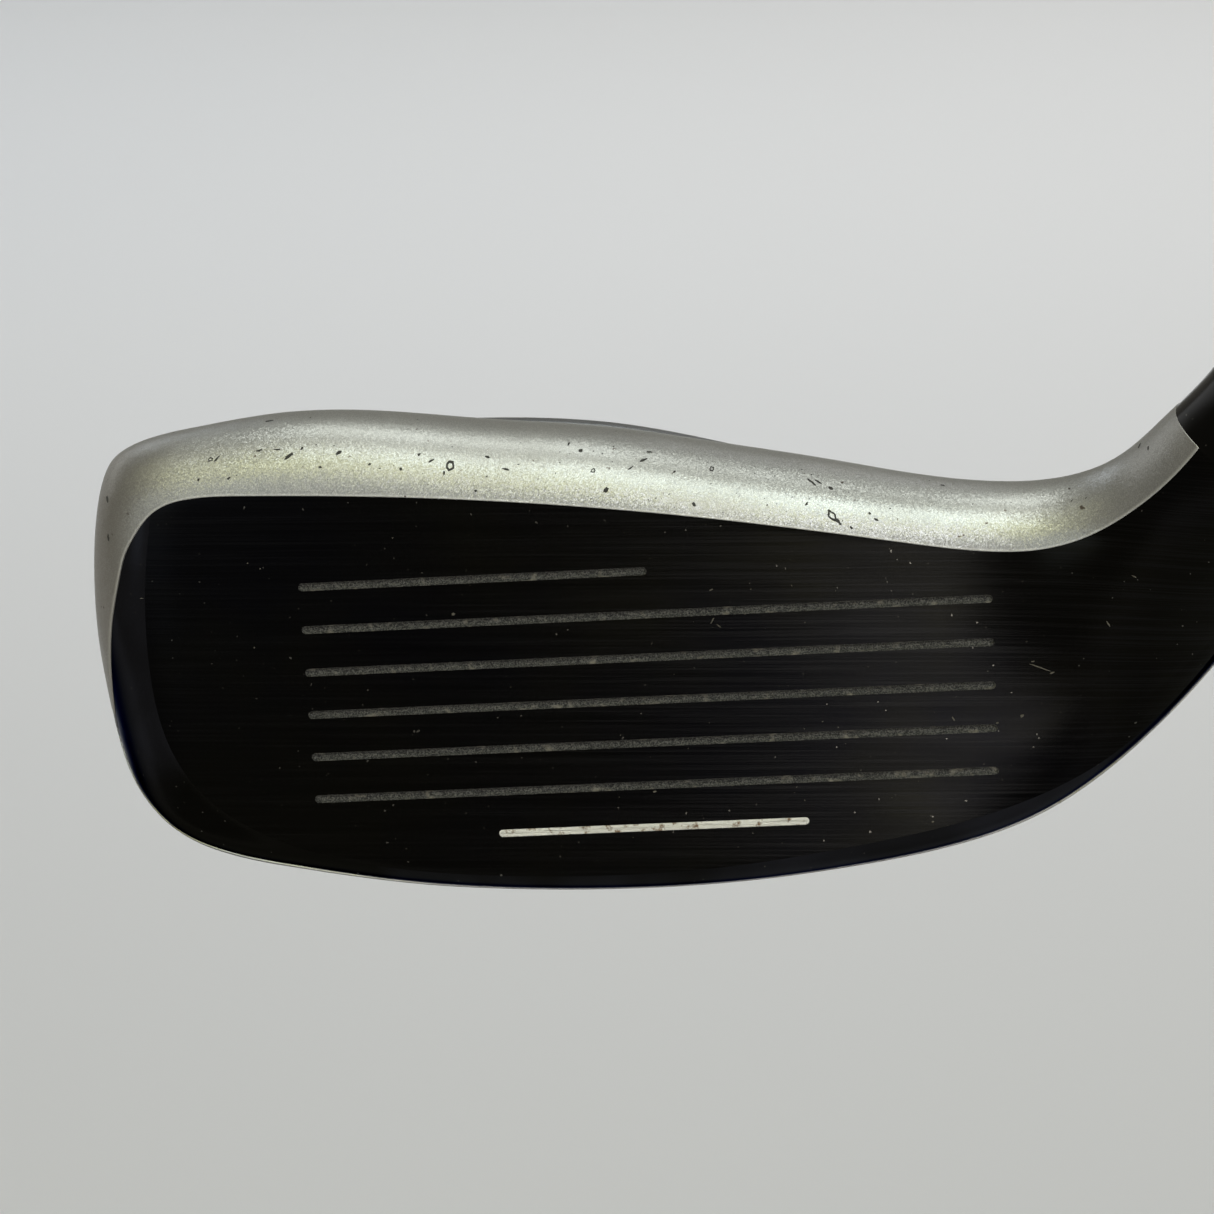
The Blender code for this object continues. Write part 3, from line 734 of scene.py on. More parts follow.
def black_finish(name, brushed, colour=(0.0062, 0.0062, 0.0075), edge=(0.6, 0.6, 0.6)):
    """Black plated steel, brushed lengthways by this much, more towards the heel."""
    look = Nodes(name, colour, 0.3, 1.0, Specular_Tint=(*edge, 1.0))
    slant = (LOFT, BRUSH_SLANT, 0)
    streak = look.noise(1.0, 3.0, 0.6, look.mapped((60.0, 60.0, 9000.0), slant))
    broad = look.noise(1.0, 2.0, 0.5, look.mapped((14.0, 14.0, 900.0), slant))
    haze = look.noise(55.0, 3.0, 0.55)
    tint = look.mix(look.remap(haze, 0.4, 0.65), colour, (0.0095, 0.0092, 0.0075))
    towards_heel = look.remap(look.across_x(), *map(part_x, BRUSH_GROWS), 0.3, 1.0)
    share = look.math("MULTIPLY", towards_heel, look.remap(streak, 0.45, 0.7, 0.0, 0.6 * brushed))
    tint = look.mix(share, tint, (0.021, 0.021, 0.022))
    dust = look.noise(2600.0, 1.0)
    tint = look.mix(look.remap(dust, 0.77, 0.8), tint, (0.16, 0.155, 0.14))
    fine_rough = look.remap(streak, 0.3, 0.7, 0.15, 0.15 + 0.08 * brushed)
    rough = look.math("ADD", fine_rough, look.remap(broad, 0.3, 0.7, 0.0, 0.05))
    return look.set(Base_Color=tint, Roughness=rough, Normal=look.bump(streak, 0.000004 * brushed))


def sole_steel():
    """Satin steel of the sole, polished lengthways, with scuffs."""
    look = Nodes("sole_satin_steel", (0.34, 0.34, 0.345), 0.3, 1.0, Specular_Tint=(0.4, 0.4, 0.4, 1.0))
    streak = look.noise(1.0, 3.0, 0.6, look.mapped((40.0, 2500.0, 2500.0)))
    cloud = look.noise(70.0, 3.0)
    tint = look.mix(look.remap(cloud, 0.35, 0.7), (0.38, 0.38, 0.385), (0.27, 0.265, 0.26))
    tint = look.mix(look.remap(streak, 0.62, 0.75, 0.0, 0.5), tint, (0.13, 0.125, 0.12))
    rough = look.remap(streak, 0.3, 0.7, 0.22, 0.42)
    return look.set(Base_Color=tint, Roughness=rough, Normal=look.bump(streak, 0.000004))


def groove_blast():
    """Bead-blasted floor of a score line, with dust in it."""
    look = Nodes("score_line_blasted", (0.06, 0.06, 0.057), 0.75, 0.2)
    grain = look.noise(8000.0, 2.0, 0.65)
    dust = look.noise(900.0, 2.0)
    tint = look.mix(look.remap(grain, 0.42, 0.64), (0.006, 0.006, 0.006), (0.15, 0.146, 0.132))
    tint = look.mix(look.remap(dust, 0.6, 0.75, 0.0, 0.6), tint, (0.34, 0.31, 0.25))
    return look.set(Base_Color=tint, Normal=look.bump(grain, 0.00004, 0.8))


def line_paint():
    """Cream line paint, with brown dirt pressed in."""
    look = Nodes("cream_line_paint", (0.72, 0.7, 0.62), 0.6)
    dirt = look.noise(1100.0, 3.0, 0.65)
    grain = look.noise(6000.0, 2.0)
    tint = look.mix(look.remap(dirt, 0.55, 0.66), (0.76, 0.745, 0.68), (0.2, 0.12, 0.055))
    tint = look.mix(look.remap(grain, 0.6, 0.8, 0.0, 0.4), tint, (0.9, 0.88, 0.82))
    return look.set(Base_Color=tint, Normal=look.bump(grain, 0.00003))


def plain_plastic(name, colour, roughness, grain_scale, grain_depth, coat=0.0):
    """Moulded plastic or rubber with a fine grain and slight wear."""
    look = Nodes(name, colour, roughness, 0.0, Coat_Weight=coat)
    wear = look.noise(60.0, 3.0)
    grain = look.noise(grain_scale, 2.0)
    lighter = tuple(min(1.0, c * 1.9 + 0.006) for c in colour)
    tint = look.mix(look.remap(wear, 0.45, 0.75, 0.0, 0.6), colour, lighter)
    rough = look.remap(wear, 0.3, 0.7, max(0.05, roughness - 0.06), roughness + 0.06)
    return look.set(Base_Color=tint, Roughness=rough, Normal=look.bump(grain, grain_depth))


def graphite():
    """Wound graphite under clear lacquer."""
    lacquer = {"Coat_Weight": 1.0, "Coat_Roughness": 0.06}
    look = Nodes("lacquered_graphite", (0.02, 0.021, 0.024), 0.35, 0.3, **lacquer)
    wind = look.noise(1.0, 2.0, 0.5, look.mapped((2600.0, 2600.0, 180.0), (0, LIE - math.pi / 2, 0)))
    tint = look.mix(look.remap(wind, 0.4, 0.65), (0.013, 0.014, 0.016), (0.045, 0.047, 0.052))
    return look.set(Base_Color=tint, Normal=look.bump(wind, 0.00001))


LOOKS = {
    "silver": silver_paint("silver_flake_paint", (0.62, 0.625, 0.61), (0.42, 0.425, 0.42), 0.37, True),
    # Painted shade: the rear panel's paint is a darker copy of the silver, for the shade on the hump
    # behind the lip.
    "panel": silver_paint("shaded_silver_flake_paint", (0.3, 0.31, 0.335), (0.21, 0.22, 0.24), 0.4),
    "face": black_finish("black_brushed_steel", 1.0),
    "body": black_finish("black_plated_steel", 0.25, (0.03, 0.031, 0.039), (0.36, 0.37, 0.43)),
    "hosel": black_finish("black_plated_hosel", 0.0, (0.034, 0.034, 0.036), (0.9, 0.9, 0.9)),
    "sole": sole_steel(),
    "groove": groove_blast(),
    "line": line_paint(),
    "ferrule": plain_plastic("ferrule_plastic", (0.014, 0.014, 0.015), 0.22, 900.0, 0.000004, 0.6),
    "graphite": graphite(),
    "rubber": plain_plastic("grip_rubber", (0.02, 0.02, 0.02), 0.72, 1600.0, 0.00005),
    "cap": plain_plastic("cap_rubber", (0.026, 0.026, 0.026), 0.6, 1800.0, 0.00003),
    "chip": plain_plastic("chipped_primer", (0.035, 0.034, 0.031), 0.7, 4000.0, 0.00003),
    "dust": plain_plastic("pale_dust", (0.1, 0.09, 0.07), 0.8, 4000.0, 0.00002),
}


# Head ----------------------------------------------------------------------------------------------


def stadium(ends, up, half, spacing=2.0):
    """Outline of a straight slot with round ends, in X and distance up the face."""
    left = ends[0] + LINE_LOOPS[0][0]
    right = ends[1] - LINE_LOOPS[0][0]
    straight = np.linspace(left, right, int((right - left) / spacing) + 1)
    turn = np.radians(np.arange(-75, 76, 15))
    outline = [(x, up - half) for x in straight]
    outline += [(right + half * math.cos(a), up + half * math.sin(a)) for a in turn]
    outline += [(x, up + half) for x in straight[::-1]]
    outline += [(left - half * math.cos(a), up - half * math.sin(a)) for a in turn]
    return outline


def score_rows():
    """The score lines from the lowest up: their ends and their height up the face."""
    for row in range(LINE_COUNT):
        ends = TOP_LINE if row == LINE_COUNT - 1 else FILLED_LINE if row == 0 else LONG_LINE
        yield ends, LOWEST_LINE_V + LINE_PITCH * row


def loop_order(edges):
    """The points of one closed chain of directed edges, in order."""
    after = dict(edges)
    start = edges[0][0]
    chain = [start]
    while after[chain[-1]] != start:
        chain.append(after[chain[-1]])
    return chain


def score_plan(rim):
    """Plan of the scored area inside its rim: points seen square to the face, edges and depths."""
    flat = list(rim)
    depth = [0.0] * len(flat)
    edges = [(k, (k + 1) % len(flat)) for k in range(len(flat))]
    for ends, up in score_rows():
        for half, down in LINE_LOOPS:
            outline = stadium(ends, up, half)
            base = len(flat)
            flat += outline
            depth += [down] * len(outline)
            edges += [(base + k, base + (k + 1) % len(outline)) for k in range(len(outline))]
    # Points between the lines keep the triangles there from growing long
    for px in np.arange(*BETWEEN):
        for pv in np.arange(LOWEST_LINE_V - 0.5 * LINE_PITCH, BETWEEN_TOP, LINE_PITCH):
            inside = outline_distance(np.array([px]), np.array([pv]), np.array(WINDOW))[0]
            if inside < -BETWEEN_MARGIN:
                flat.append((px, pv))
                depth.append(0.0)
    return flat, edges, depth


def scored_area(build, table, inside):
    """The flat middle of the face with its score lines cut in."""
    used, index = np.unique(inside, return_inverse=True)
    inside = index.reshape(-1, 3)
    points = table[used][:, POS]
    normals = unit(table[used][:, NORMAL])
    tree = BVHTree.FromPolygons([Vector(p) for p in points], inside.tolist())
    rim = loop_order(boundary_edges(inside))
    x, v, _ = plane_places(points[rim])
    flat, edges, depth = score_plan(zip(x, v))
    found = delaunay_2d_cdt([Vector(p) for p in flat], edges, [], 0, 1e-6)
    made, faces, source = found[0], found[2], found[3]
    spots = []
    spot_normals = []
    for n, spot in enumerate(made):
        start = np.array([spot.x, 0.0, 0.0]) + FACE_UP * spot.y - FACE_IN * RAY_START
        hit, _, face, _ = tree.ray_cast(Vector(start), Vector(FACE_IN))
        if hit is None:
            # A point on the very rim can slip past the ray
            hit, _, face, _ = tree.find_nearest(Vector(start + FACE_IN * RAY_START))
        down = depth[source[n][0]] if source[n] else 0.0
        normal = unit(normals[inside[face]].mean(axis=0))
        if n < len(rim) and down == 0.0 and source[n] and source[n][0] < len(rim):
            hit = points[rim[source[n][0]]]
            normal = normals[rim[source[n][0]]]
        spots.append(np.array(hit) - normal * down)
        spot_normals.append(normal)
    spots = np.array(spots)
    downs = np.array([depth[s[0]] if s else 0.0 for s in source])
    faces = [f if (made[f[1]] - made[f[0]]).cross(made[f[2]] - made[f[0]]) > 0 else f[::-1] for f in faces]
    on_face = []
    in_lines = []
    for f in faces:
        cut = max(downs[list(f)]) > 0.0 or in_line(made, f)
        (in_lines if cut else on_face).append(f)
    build.add(spots, on_face, spot_normals, 0)
    build.add(spots, in_lines, None, 1)


def in_line(made, face):
    """Whether a triangle's middle lies in a score line."""
    middle = sum((made[k] for k in face), Vector((0, 0))) / 3
    for ends, up in score_rows():
        if abs(middle.y - up) < LINE_LOOPS[0][0] and ends[0] < middle.x < ends[1]:
            return True
    return False


def line_fill():
    """The paint in the lowest score line, a little dished and uneven."""
    build = Build()
    loops = []
    for half, down, uneven in FILL_LOOPS:
        outline = np.array(stadium(FILLED_LINE, LOWEST_LINE_V, half, 0.4))
        wave = uneven * RANDOM.standard_normal(len(outline))
        places = np.column_stack([outline[:, 0], np.zeros((len(outline), 2))])
        loops.append(places + np.outer(outline[:, 1], FACE_UP) + np.outer(down + wave, FACE_IN))
    rings = [loops[0] + FACE_IN * FILL_DEPTH] + loops
    count = len(rings[0])
    faces = grid_quads(len(rings), count).tolist()
    last = (len(rings) - 1) * count
    for k in range(count // 2):
        opposite = last + (count - 2 - k) % count
        faces.append((last + k, last + k + 1, opposite, last + (count - 1 - k) % count))
    faces = [f for f in faces if len(set(f)) == 4]
    faces.append(tuple(reversed(range(count))))
    build.add(np.concatenate(rings), faces)
    build.finish("score_line_fill_paint", [LOOKS["line"]], "score_line_fill")


def head_pieces():
    """Cuts the head's skin into its visible pieces: the table of its vertices and its triangles."""
    table, skin = head_skin()
    table, hosel, head = split(table, skin, table[:, RING])
    black_at = np.minimum(table[:, EDGE], -table[:, SILVER])
    table, black, painted = split(table, head, black_at)
    table, silver, sole = split(table, painted, table[:, SKIRT])
    table, roll, front = split(table, black, table[:, FOLD])
    table, plain_front, area = split(table, front, table[:, AREA])

    crown = Build()
    add_skin(crown, table, silver, PAINT_PROUD, 0.1, mark=SILVER)
    crown.finish("crown_paint", [LOOKS["silver"]], "crown_shell")

    face = Build()
    add_skin(face, table, plain_front, 0.0, 0.0)
    scored_area(face, table, area)
    face.finish("scored_face", [LOOKS["face"], LOOKS["groove"]], "face_plate")

    body = Build()
    add_skin(body, table, roll, 0.0, 0.0, ROLL_POS, ROLL_NORMAL)
    add_skin(body, table, hosel, 0.0, 0.0, look=1)
    body.finish("leading_edge_and_hosel", [LOOKS["body"], LOOKS["hosel"]], "head_body")

    under = Build()
    add_skin(under, table, sole, SOLE_PROUD, 0.06)
    under.finish("sole_skin", [LOOKS["sole"]], None)

    line_fill()
    return table, skin


def smooth_edge(share, soft):
    """Rises from 0 at an edge to 1 at soft beyond it, along a quarter round."""
    t = np.clip(share / soft, 0.0, 1.0)
    return np.sqrt(1 - (1 - t) ** 2)


def crown_panel():
    """The raised panel behind the crown's front lip, with rounded shoulders, in a darker copy of the
    silver paint as painted shade.
    """
    build = Build()
    n = PANEL_MESH
    base = head_grid(np.linspace(*PANEL_SECTIONS, n), np.linspace(*PANEL_RINGS, n))
    normals = unit(np.cross(np.gradient(base, axis=1), np.gradient(base, axis=0)))
    if normals[n // 2, n // 2, 2] < 0:
        normals = -normals
    share = np.linspace(0, 1, n)
    row, column = np.meshgrid(share, share, indexing="ij")
    rise = PANEL_HEIGHT * (1 - PANEL_FALL * row) * np.sin(math.pi * row**PANEL_PEAK) ** PANEL_ROUND
    rise = rise * smooth_edge(np.minimum(column, 1 - column), PANEL_SHOULDER)
    points = base + normals * (rise - PANEL_SUNK)[..., None]
    flat = points.reshape(-1, 3)
    triangles = in_triangles(grid_quads(n, n, columns_close=False))
    found = vertex_normals(flat, triangles)
    if (found * normals.reshape(-1, 3)).sum() < 0:
        triangles = triangles[:, ::-1]
        found = -found
    table = np.column_stack([flat, found])
    add_skin(build, table, triangles, 0.0, 0.0)
    build.finish("rear_crown_panel", [LOOKS["panel"]], "crown_panel")


# Shaft, ferrule and grip ---------------------------------------------------------------------------


def turned(name, stations, look, replaces, sides=96, relief=None, sharp=30.0):
    """A piece turned round the shaft axis from a closed outline of (distance up the axis, radius)."""
    stations = np.array(stations)
    angle = np.arange(sides) * 2 * math.pi / sides
    out = np.outer(np.cos(angle), ACROSS) + np.outer(np.sin(angle), (0.0, -1.0, 0.0))
    radius = stations[:, 1][:, None] + np.zeros(sides)[None, :]
    if relief is not None:
        radius = radius + relief(stations[:, 0][:, None], angle[None, :], stations[:, 1][:, None])
    points = axis_point(0.0) + stations[:, 0][:, None, None] * AXIS + radius[..., None] * out[None]
    points = (points.reshape(-1, 3) - HOLD) * MM
    faces = grid_quads(len(stations), sides, rows_close=True)
    made = add_object(name, points.tolist(), faces.tolist(), [look])
    made.data.set_sharp_from_angle(angle=math.radians(sharp))
    attach(made, replaces)


# The shaft's radius at the tip, how much it grows from where the straight tip ends to the butt, and
# its wall
TIP_RADIUS = 4.7
SHAFT_GROWS = 2.9
TIP_END = 156.0
SHAFT_WALL = 1.2


def shaft_radius(along):
    """The shaft's outer radius this far up the axis."""
    return TIP_RADIUS + SHAFT_GROWS * np.maximum(0.0, along - TIP_END) / (CLUB_LENGTH - TIP_END)


def rounded_outline(corners, radius):
    """A closed outline with its corners rounded off. A corner's third number is its own radius."""
    made = []
    count = len(corners)
    for k in range(count):
        here = np.array(corners[k][:2], float)
        size = corners[k][2] if len(corners[k]) > 2 else radius
        back = np.array(corners[k - 1][:2], float) - here
        ahead = np.array(corners[(k + 1) % count][:2], float) - here
        reach = min(size, 0.45 * np.linalg.norm(back), 0.45 * np.linalg.norm(ahead))
        if reach < 0.01:
            made.append(here)
            continue
        first = here + back / np.linalg.norm(back) * reach
        last = here + ahead / np.linalg.norm(ahead) * reach
        for t in np.linspace(0, 1, 6):
            made.append((1 - t) ** 2 * first + 2 * t * (1 - t) * here + t**2 * last)
    return made


# Corners of the ferrule's outline: distance up from its foot, radius, and a rounding of its own
FERRULE = (
    (0.0, 5.0),
    (0.0, 6.8, 0.25),
    (2.0, 6.8),
    (2.35, 6.62),
    (2.9, 6.62),
    (3.25, 6.78),
    (9.0, 6.45),
    (16.0, 5.85),
    (20.0, 5.6),
    (20.35, 5.42),
    (20.9, 5.4),
    (21.25, 5.52),
    (24.0, 5.3, 0.3),
    (24.0, 5.0),
)


def ferrule():
    corners = [(HOSEL_TOP + 0.3 + up, *rest) for up, *rest in FERRULE]
    outline = rounded_outline(corners, 0.18)
    turned("ferrule_ringed", outline, LOOKS["ferrule"], "ferrule", sharp=50.0)


def shaft():
    straight = np.linspace(HOSEL_TOP - 10.0, TIP_END, 12)
    places = np.concatenate([straight, np.linspace(170.0, CLUB_LENGTH - 4.0, 60)])
    outline = [(a, shaft_radius(a)) for a in places]
    outline += [(a, shaft_radius(a) - SHAFT_WALL) for a in places[::-1]]
    turned("lacquered_shaft", outline, LOOKS["graphite"], "shaft", 72)


# The grip's length, its radius at the mouth, how much and how evenly it grows to the top, and how the
# edge of its mouth is rounded: how far up and how far in
GRIP_LENGTH = 267.0
GRIP_RADIUS = 9.3
GRIP_GROWS = 3.9
GRIP_CURVE = 1.15
MOUTH_ROUND = (1.6, 0.7)
GRIP_STATIONS = 520
GRIP_TOP = CLUB_LENGTH - 3.9
GRIP_FOOT = GRIP_TOP - GRIP_LENGTH
# The grip's pattern: length of a row of slots, slots round it and their depth; then the spacing and
# depth of the rings
SLOT_ROW = 6.0
SLOTS_ROUND = 14
SLOT_DEPTH = 0.42
RING_PITCH = 3.2
RING_DEPTH = 0.35
# Corners of the end cap's outline: distance up from the grip's top face, radius, and own rounding
CAP = (
    (-12.0, 1.5),
    (-12.0, 5.9),
    (0.0, 5.9),
    (0.0, 13.2),
    (1.3, 13.45, 1.0),
    (3.3, 13.1, 2.0),
    (3.6, 9.0),
    (3.25, 8.6),
    (3.25, 8.2),
    (3.6, 7.8),
    (3.6, 1.5, 0.5),
)


def grip_relief(along, angle, radius):
    """Depth of the grip's pattern: staggered rows of slots, and rings round its mouth."""
    up = along - GRIP_FOOT
    share = up / GRIP_LENGTH
    outside = radius > shaft_radius(along) + 0.9
    row = up / SLOT_ROW
    place = angle / (2 * math.pi) * SLOTS_ROUND + 0.5 * (np.floor(row) % 2)
    across = np.abs(place - np.floor(place) - 0.5) * 2
    length = np.abs(row - np.floor(row) - 0.5) * 2
    slots = np.clip((0.34 - across) * 8, 0, 1) * np.clip((0.74 - length) * 5, 0, 1)
    slots = slots * (share > 0.1) * (share < 0.97)
    rings = np.clip(1 - np.abs((up % RING_PITCH) - RING_PITCH / 2) / 0.45, 0, 1)
    rings = rings * (share < 0.085) * (share > 0.02)
    return -(SLOT_DEPTH * slots + RING_DEPTH * rings) * outside


def grip():
    share = np.linspace(0.0, 1.0, GRIP_STATIONS)
    up, inwards = MOUTH_ROUND
    rounding = inwards * (1 - smooth_edge(share * GRIP_LENGTH, up))
    outer = GRIP_RADIUS + GRIP_GROWS * share**GRIP_CURVE - rounding
    outline = [(GRIP_FOOT + GRIP_LENGTH * s, r) for s, r in zip(share, outer)]
    outline += [(a, shaft_radius(a) + 0.5) for a in (GRIP_TOP, GRIP_FOOT + 120.0, GRIP_FOOT)]
    turned("patterned_grip", outline, LOOKS["rubber"], "grip", 168, grip_relief, 60.0)


def grip_cap():
    outline = rounded_outline([(CLUB_LENGTH - 3.6 + up, *rest) for up, *rest in CAP], 0.3)
    turned("grip_end_cap", outline, LOOKS["cap"], "grip_cap", sharp=50.0)


# Wear ----------------------------------------------------------------------------------------------

# Marks in the silver paint: X, height up the face, length, width and tilt in degrees
CHIPS = (
    (-12.0, 37.5, 0.8, 0.6, 75),
    (-12.5, 37.0, 0.35, 0.12, 80),
    (-13.5, 38.0, 0.6, 0.1, 30),
    (-9.0, 38.0, 0.4, 0.16, -25),
    (-7.5, 37.0, 0.6, 0.12, -15),
    (-2.5, 38.5, 0.45, 0.1, 80),
    (-1.5, 38.0, 0.4, 0.26, 80),
    (-0.5, 36.5, 0.45, 0.35, 30),
    (0.5, 35.0, 0.5, 0.28, 40),
    (3.5, 37.0, 0.7, 0.14, 30),
    (2.5, 36.5, 0.5, 0.08, 35),
    (4.0, 37.5, 0.5, 0.1, 10),
    (6.0, 36.0, 0.3, 0.12, 60),
    (9.0, 36.0, 0.55, 0.3, 80),
    (7.5, 33.5, 0.4, 0.2, 110),
    (17.0, 34.5, 1.0, 0.14, -45),
    (17.5, 34.5, 0.7, 0.1, -40),
    (18.5, 34.0, 0.4, 0.26, -30),
    (18.5, 32.0, 1.0, 0.5, -55),
    (19.0, 31.5, 0.7, 0.18, -55),
    (16.5, 33.0, 0.35, 0.12, 60),
    (22.0, 31.5, 0.4, 0.16, -30),
    (20.0, 31.0, 0.3, 0.14, -50),
    (21.5, 32.0, 0.2, 0.16, 0),
    (27.5, 33.5, 0.4, 0.1, -20),
    (29.5, 34.5, 0.8, 0.08, -10),
    (43.0, 36.5, 0.5, 0.12, 45),
    (43.5, 36.5, 0.45, 0.1, 75),
    (-31.5, 39.0, 0.45, 0.3, 40),
    (-31.0, 39.0, 0.6, 0.1, 50),
    (-25.0, 39.0, 0.9, 0.22, 30),
    (-24.0, 39.5, 0.35, 0.12, 60),
    (-21.0, 39.0, 0.6, 0.2, 40),
    (-22.5, 38.0, 0.3, 0.14, 0),
    (-27.0, 41.5, 0.7, 0.1, 10),
    (-27.5, 39.5, 0.5, 0.1, 10),
    (-26.0, 39.5, 0.6, 0.08, 0),
    (-18.5, 38.0, 0.25, 0.12, 30),
    (-16.0, 37.5, 0.3, 0.14, 100),
    (-14.5, 38.5, 0.3, 0.16, 60),
    (-13.0, 41.0, 0.8, 0.08, -10),
    (-10.0, 40.5, 1.6, 0.08, 5),
    (-10.0, 35.5, 0.25, 0.14, 60),
    (-30.0, 37.5, 0.3, 0.12, 30),
    (-32.5, 37.5, 0.25, 0.12, 60),
    (-40.5, 36.0, 0.7, 0.2, 110),
    (-40.5, 33.0, 0.6, 0.12, 95),
)
# Dust and lint on the black face: X, height up the face, length, width, tilt
FACE_DUST = (
    (34.5, 19.0, 1.7, 0.09, -22),
    (35.5, 18.5, 0.4, 0.12, 20),
    (34.0, 19.5, 0.3, 0.1, 10),
    (8.5, 24.0, 0.6, 0.08, 60),
    (9.0, 23.5, 0.5, 0.08, -40),
    (8.5, 26.5, 0.3, 0.1, 20),
    (27.5, 15.0, 0.35, 0.14, -60),
    (33.0, 15.0, 0.35, 0.22, 30),
    (31.0, 14.5, 0.2, 0.14, 0),
    (25.5, 6.5, 0.2, 0.14, 0),
    (40.0, 22.5, 0.5, 0.1, -60),
    (42.0, 26.5, 0.4, 0.08, -25),
    (-12.5, 25.5, 0.3, 0.2, 20),
    (3.0, 10.0, 0.35, 0.14, 15),
    (-29.0, 30.5, 0.12, 0.12, 0),
    (-28.0, 30.0, 0.12, 0.12, 0),
    (-17.0, 32.0, 0.1, 0.1, 0),
    (-29.0, 23.5, 0.1, 0.1, 0),
    (-38.0, 28.0, 0.3, 0.07, 0),
)
# How much the marks are drawn larger than listed, and how far they stand proud of the paint
CHIP_LONGER = 1.15
CHIP_WIDER = 1.2
CHIP_WIDTH_ADDED = 0.06
CHIP_PROUD = PAINT_PROUD + 0.04
# A mark at least this wide still has paint in its middle
HOLLOW_WIDTH = 0.3
# Small marks at random: how many, the range and peak of their X, how far up they go (above the
# silver line for chips, up the face for dust), their width, and how many times longer they can be
SMALL_CHIPS = (70, (-34.0, 8.0, 42.0), (0.3, 4.6), (0.05, 0.11), 3.0)
DUST_SPECKS = (45, (-10.0, 16.0, 38.0), (5.0, 27.0), (0.03, 0.07), 2.5)
CHIPS_FROM = -36.0
CLEAR_OF_LINES = 0.6
# Corners of a speck's outline, how ragged it is, and how deep its foot is sunk
SPECK_CORNERS = 14
SPECK_RAGGED = 0.25
SPECK_SUNK = 0.08


def speck(build, tree, x, v, length, width, tilt, height, hollow=False):
    """A small low uneven crumb on the surface that faces the front, or a ring if it is hollow."""
    start = np.array([x, 0.0, 0.0]) + FACE_UP * v - FACE_IN * RAY_START
    hit, normal, _, _ = tree.ray_cast(Vector(start), Vector(FACE_IN))
    ragged = 1 + SPECK_RAGGED * RANDOM.uniform(-1, 1, SPECK_CORNERS)
    if hit is None:
        return
    hit = np.array(hit)
    normal = np.array(normal)
    right = unit(np.array([1.0, 0.0, 0.0]) - normal * normal[0])
    turn = math.radians(tilt)
    along = right * math.cos(turn) + np.cross(normal, right) * math.sin(turn)
    side = np.cross(normal, along)
    count = SPECK_CORNERS
    angle = np.arange(count) * 2 * math.pi / count
    rim = np.outer(np.cos(angle) * ragged * length / 2, along)
    rim = rim + np.outer(np.sin(angle) * ragged * width / 2, side)
    low = hit - normal * SPECK_SUNK
    loops = [low + rim, hit + rim + normal * height * 0.3, hit + rim * 0.75 + normal * height]
    if hollow:
        loops += [hit + rim * 0.5 + normal * height, low + rim * 0.4]
    points = np.concatenate(loops + [[hit + normal * height], [low]])
    middle = len(points) - 2
    faces = []
    for k in range(count):
        m = (k + 1) % count
        for ring in range(len(loops) - 1):
            a = ring * count
            faces.append((a + k, a + m, a + count + m, a + count + k))
        last = (len(loops) - 1) * count
        if hollow:
            faces.append((last + k, last + m, m, k))
        else:
            faces += [(last + k, last + m, middle), (m, k, middle + 1)]
    build.add(points, faces)


def paint_chips(tree):
    """Chips in the silver paint along the front lip of the crown."""
    build = Build()
    for x, v, length, width, tilt in CHIPS:
        wide = width * CHIP_WIDER + CHIP_WIDTH_ADDED
        hollow = width >= HOLLOW_WIDTH
        speck(build, tree, x, v, length * CHIP_LONGER, wide, tilt, CHIP_PROUD, hollow)
    line = smooth_line(SILVER_LINE)
    line = line[line[:, 0] > CHIPS_FROM]
    count, along, up, widths, longest = SMALL_CHIPS
    for _ in range(count):
        x = RANDOM.triangular(*along)
        v = np.interp(x, line[:, 0], line[:, 1]) + RANDOM.uniform(*up)
        width = RANDOM.uniform(*widths)
        length = width * RANDOM.uniform(1.0, longest)
        speck(build, tree, x, v, length, width, RANDOM.uniform(0, 80), PAINT_PROUD + 0.02)
    build.finish("paint_chips", [LOOKS["chip"]], None)


def face_dust(tree):
    """Dust and lint on the black face."""
    dust = Build()
    for x, v, length, width, tilt in FACE_DUST:
        speck(dust, tree, x, v, length, width, tilt, 0.03)
    count, along, up, widths, longest = DUST_SPECKS
    for _ in range(count):
        x = RANDOM.triangular(*along)
        v = RANDOM.uniform(*up)
        if min(abs(v - line_up) for _, line_up in score_rows()) > CLEAR_OF_LINES:
            width = RANDOM.uniform(*widths)
            length = width * RANDOM.uniform(1.0, longest)
            speck(dust, tree, x, v, length, width, RANDOM.uniform(0, 180), 0.012)
    dust.finish("face_dust", [LOOKS["dust"]], None)


# Stage ---------------------------------------------------------------------------------------------


def place(x, y, z):
    """A point of the address frame, given in millimetres, in the part's frame."""
    return Vector((np.array([x, y, z]) - HOLD) * MM)


# The camera's place, its turn in degrees, and its lens
CAMERA_AT = (19.1, -204.5, 149.6)
CAMERA_TURN = (59.486, 4.541, 2.439)
CAMERA_LENS = 91.05


def camera():
    """A long lens in front of the head, looking down on it a little."""
    data = bpy.data.cameras.new("view")
    made = link_object("view", data)
    made.location = place(*CAMERA_AT)
    made.rotation_euler = [math.radians(a) for a in CAMERA_TURN]
    data.sensor_width = 36.0
    data.lens = CAMERA_LENS
    data.clip_start = 0.01
    bpy.context.scene.camera = made


# Floor and backdrop, far enough out to fill every view
FLOOR_Z = -700.0
ROOM_RADIUS = 6200.0
# Panels that light the floor evenly: how far out and how high they hang, in which directions, their
# size in metres, their power and the angle they light
CEILING_DISTANCE = 4300.0
CEILING_Z = 1700.0
CEILING_TURNS = (-125, -90, -45, 0, 45, 90, 125)
CEILING_SIZE = 3.4
CEILING_POWER = 15.0
CEILING_SPREAD = 110.0
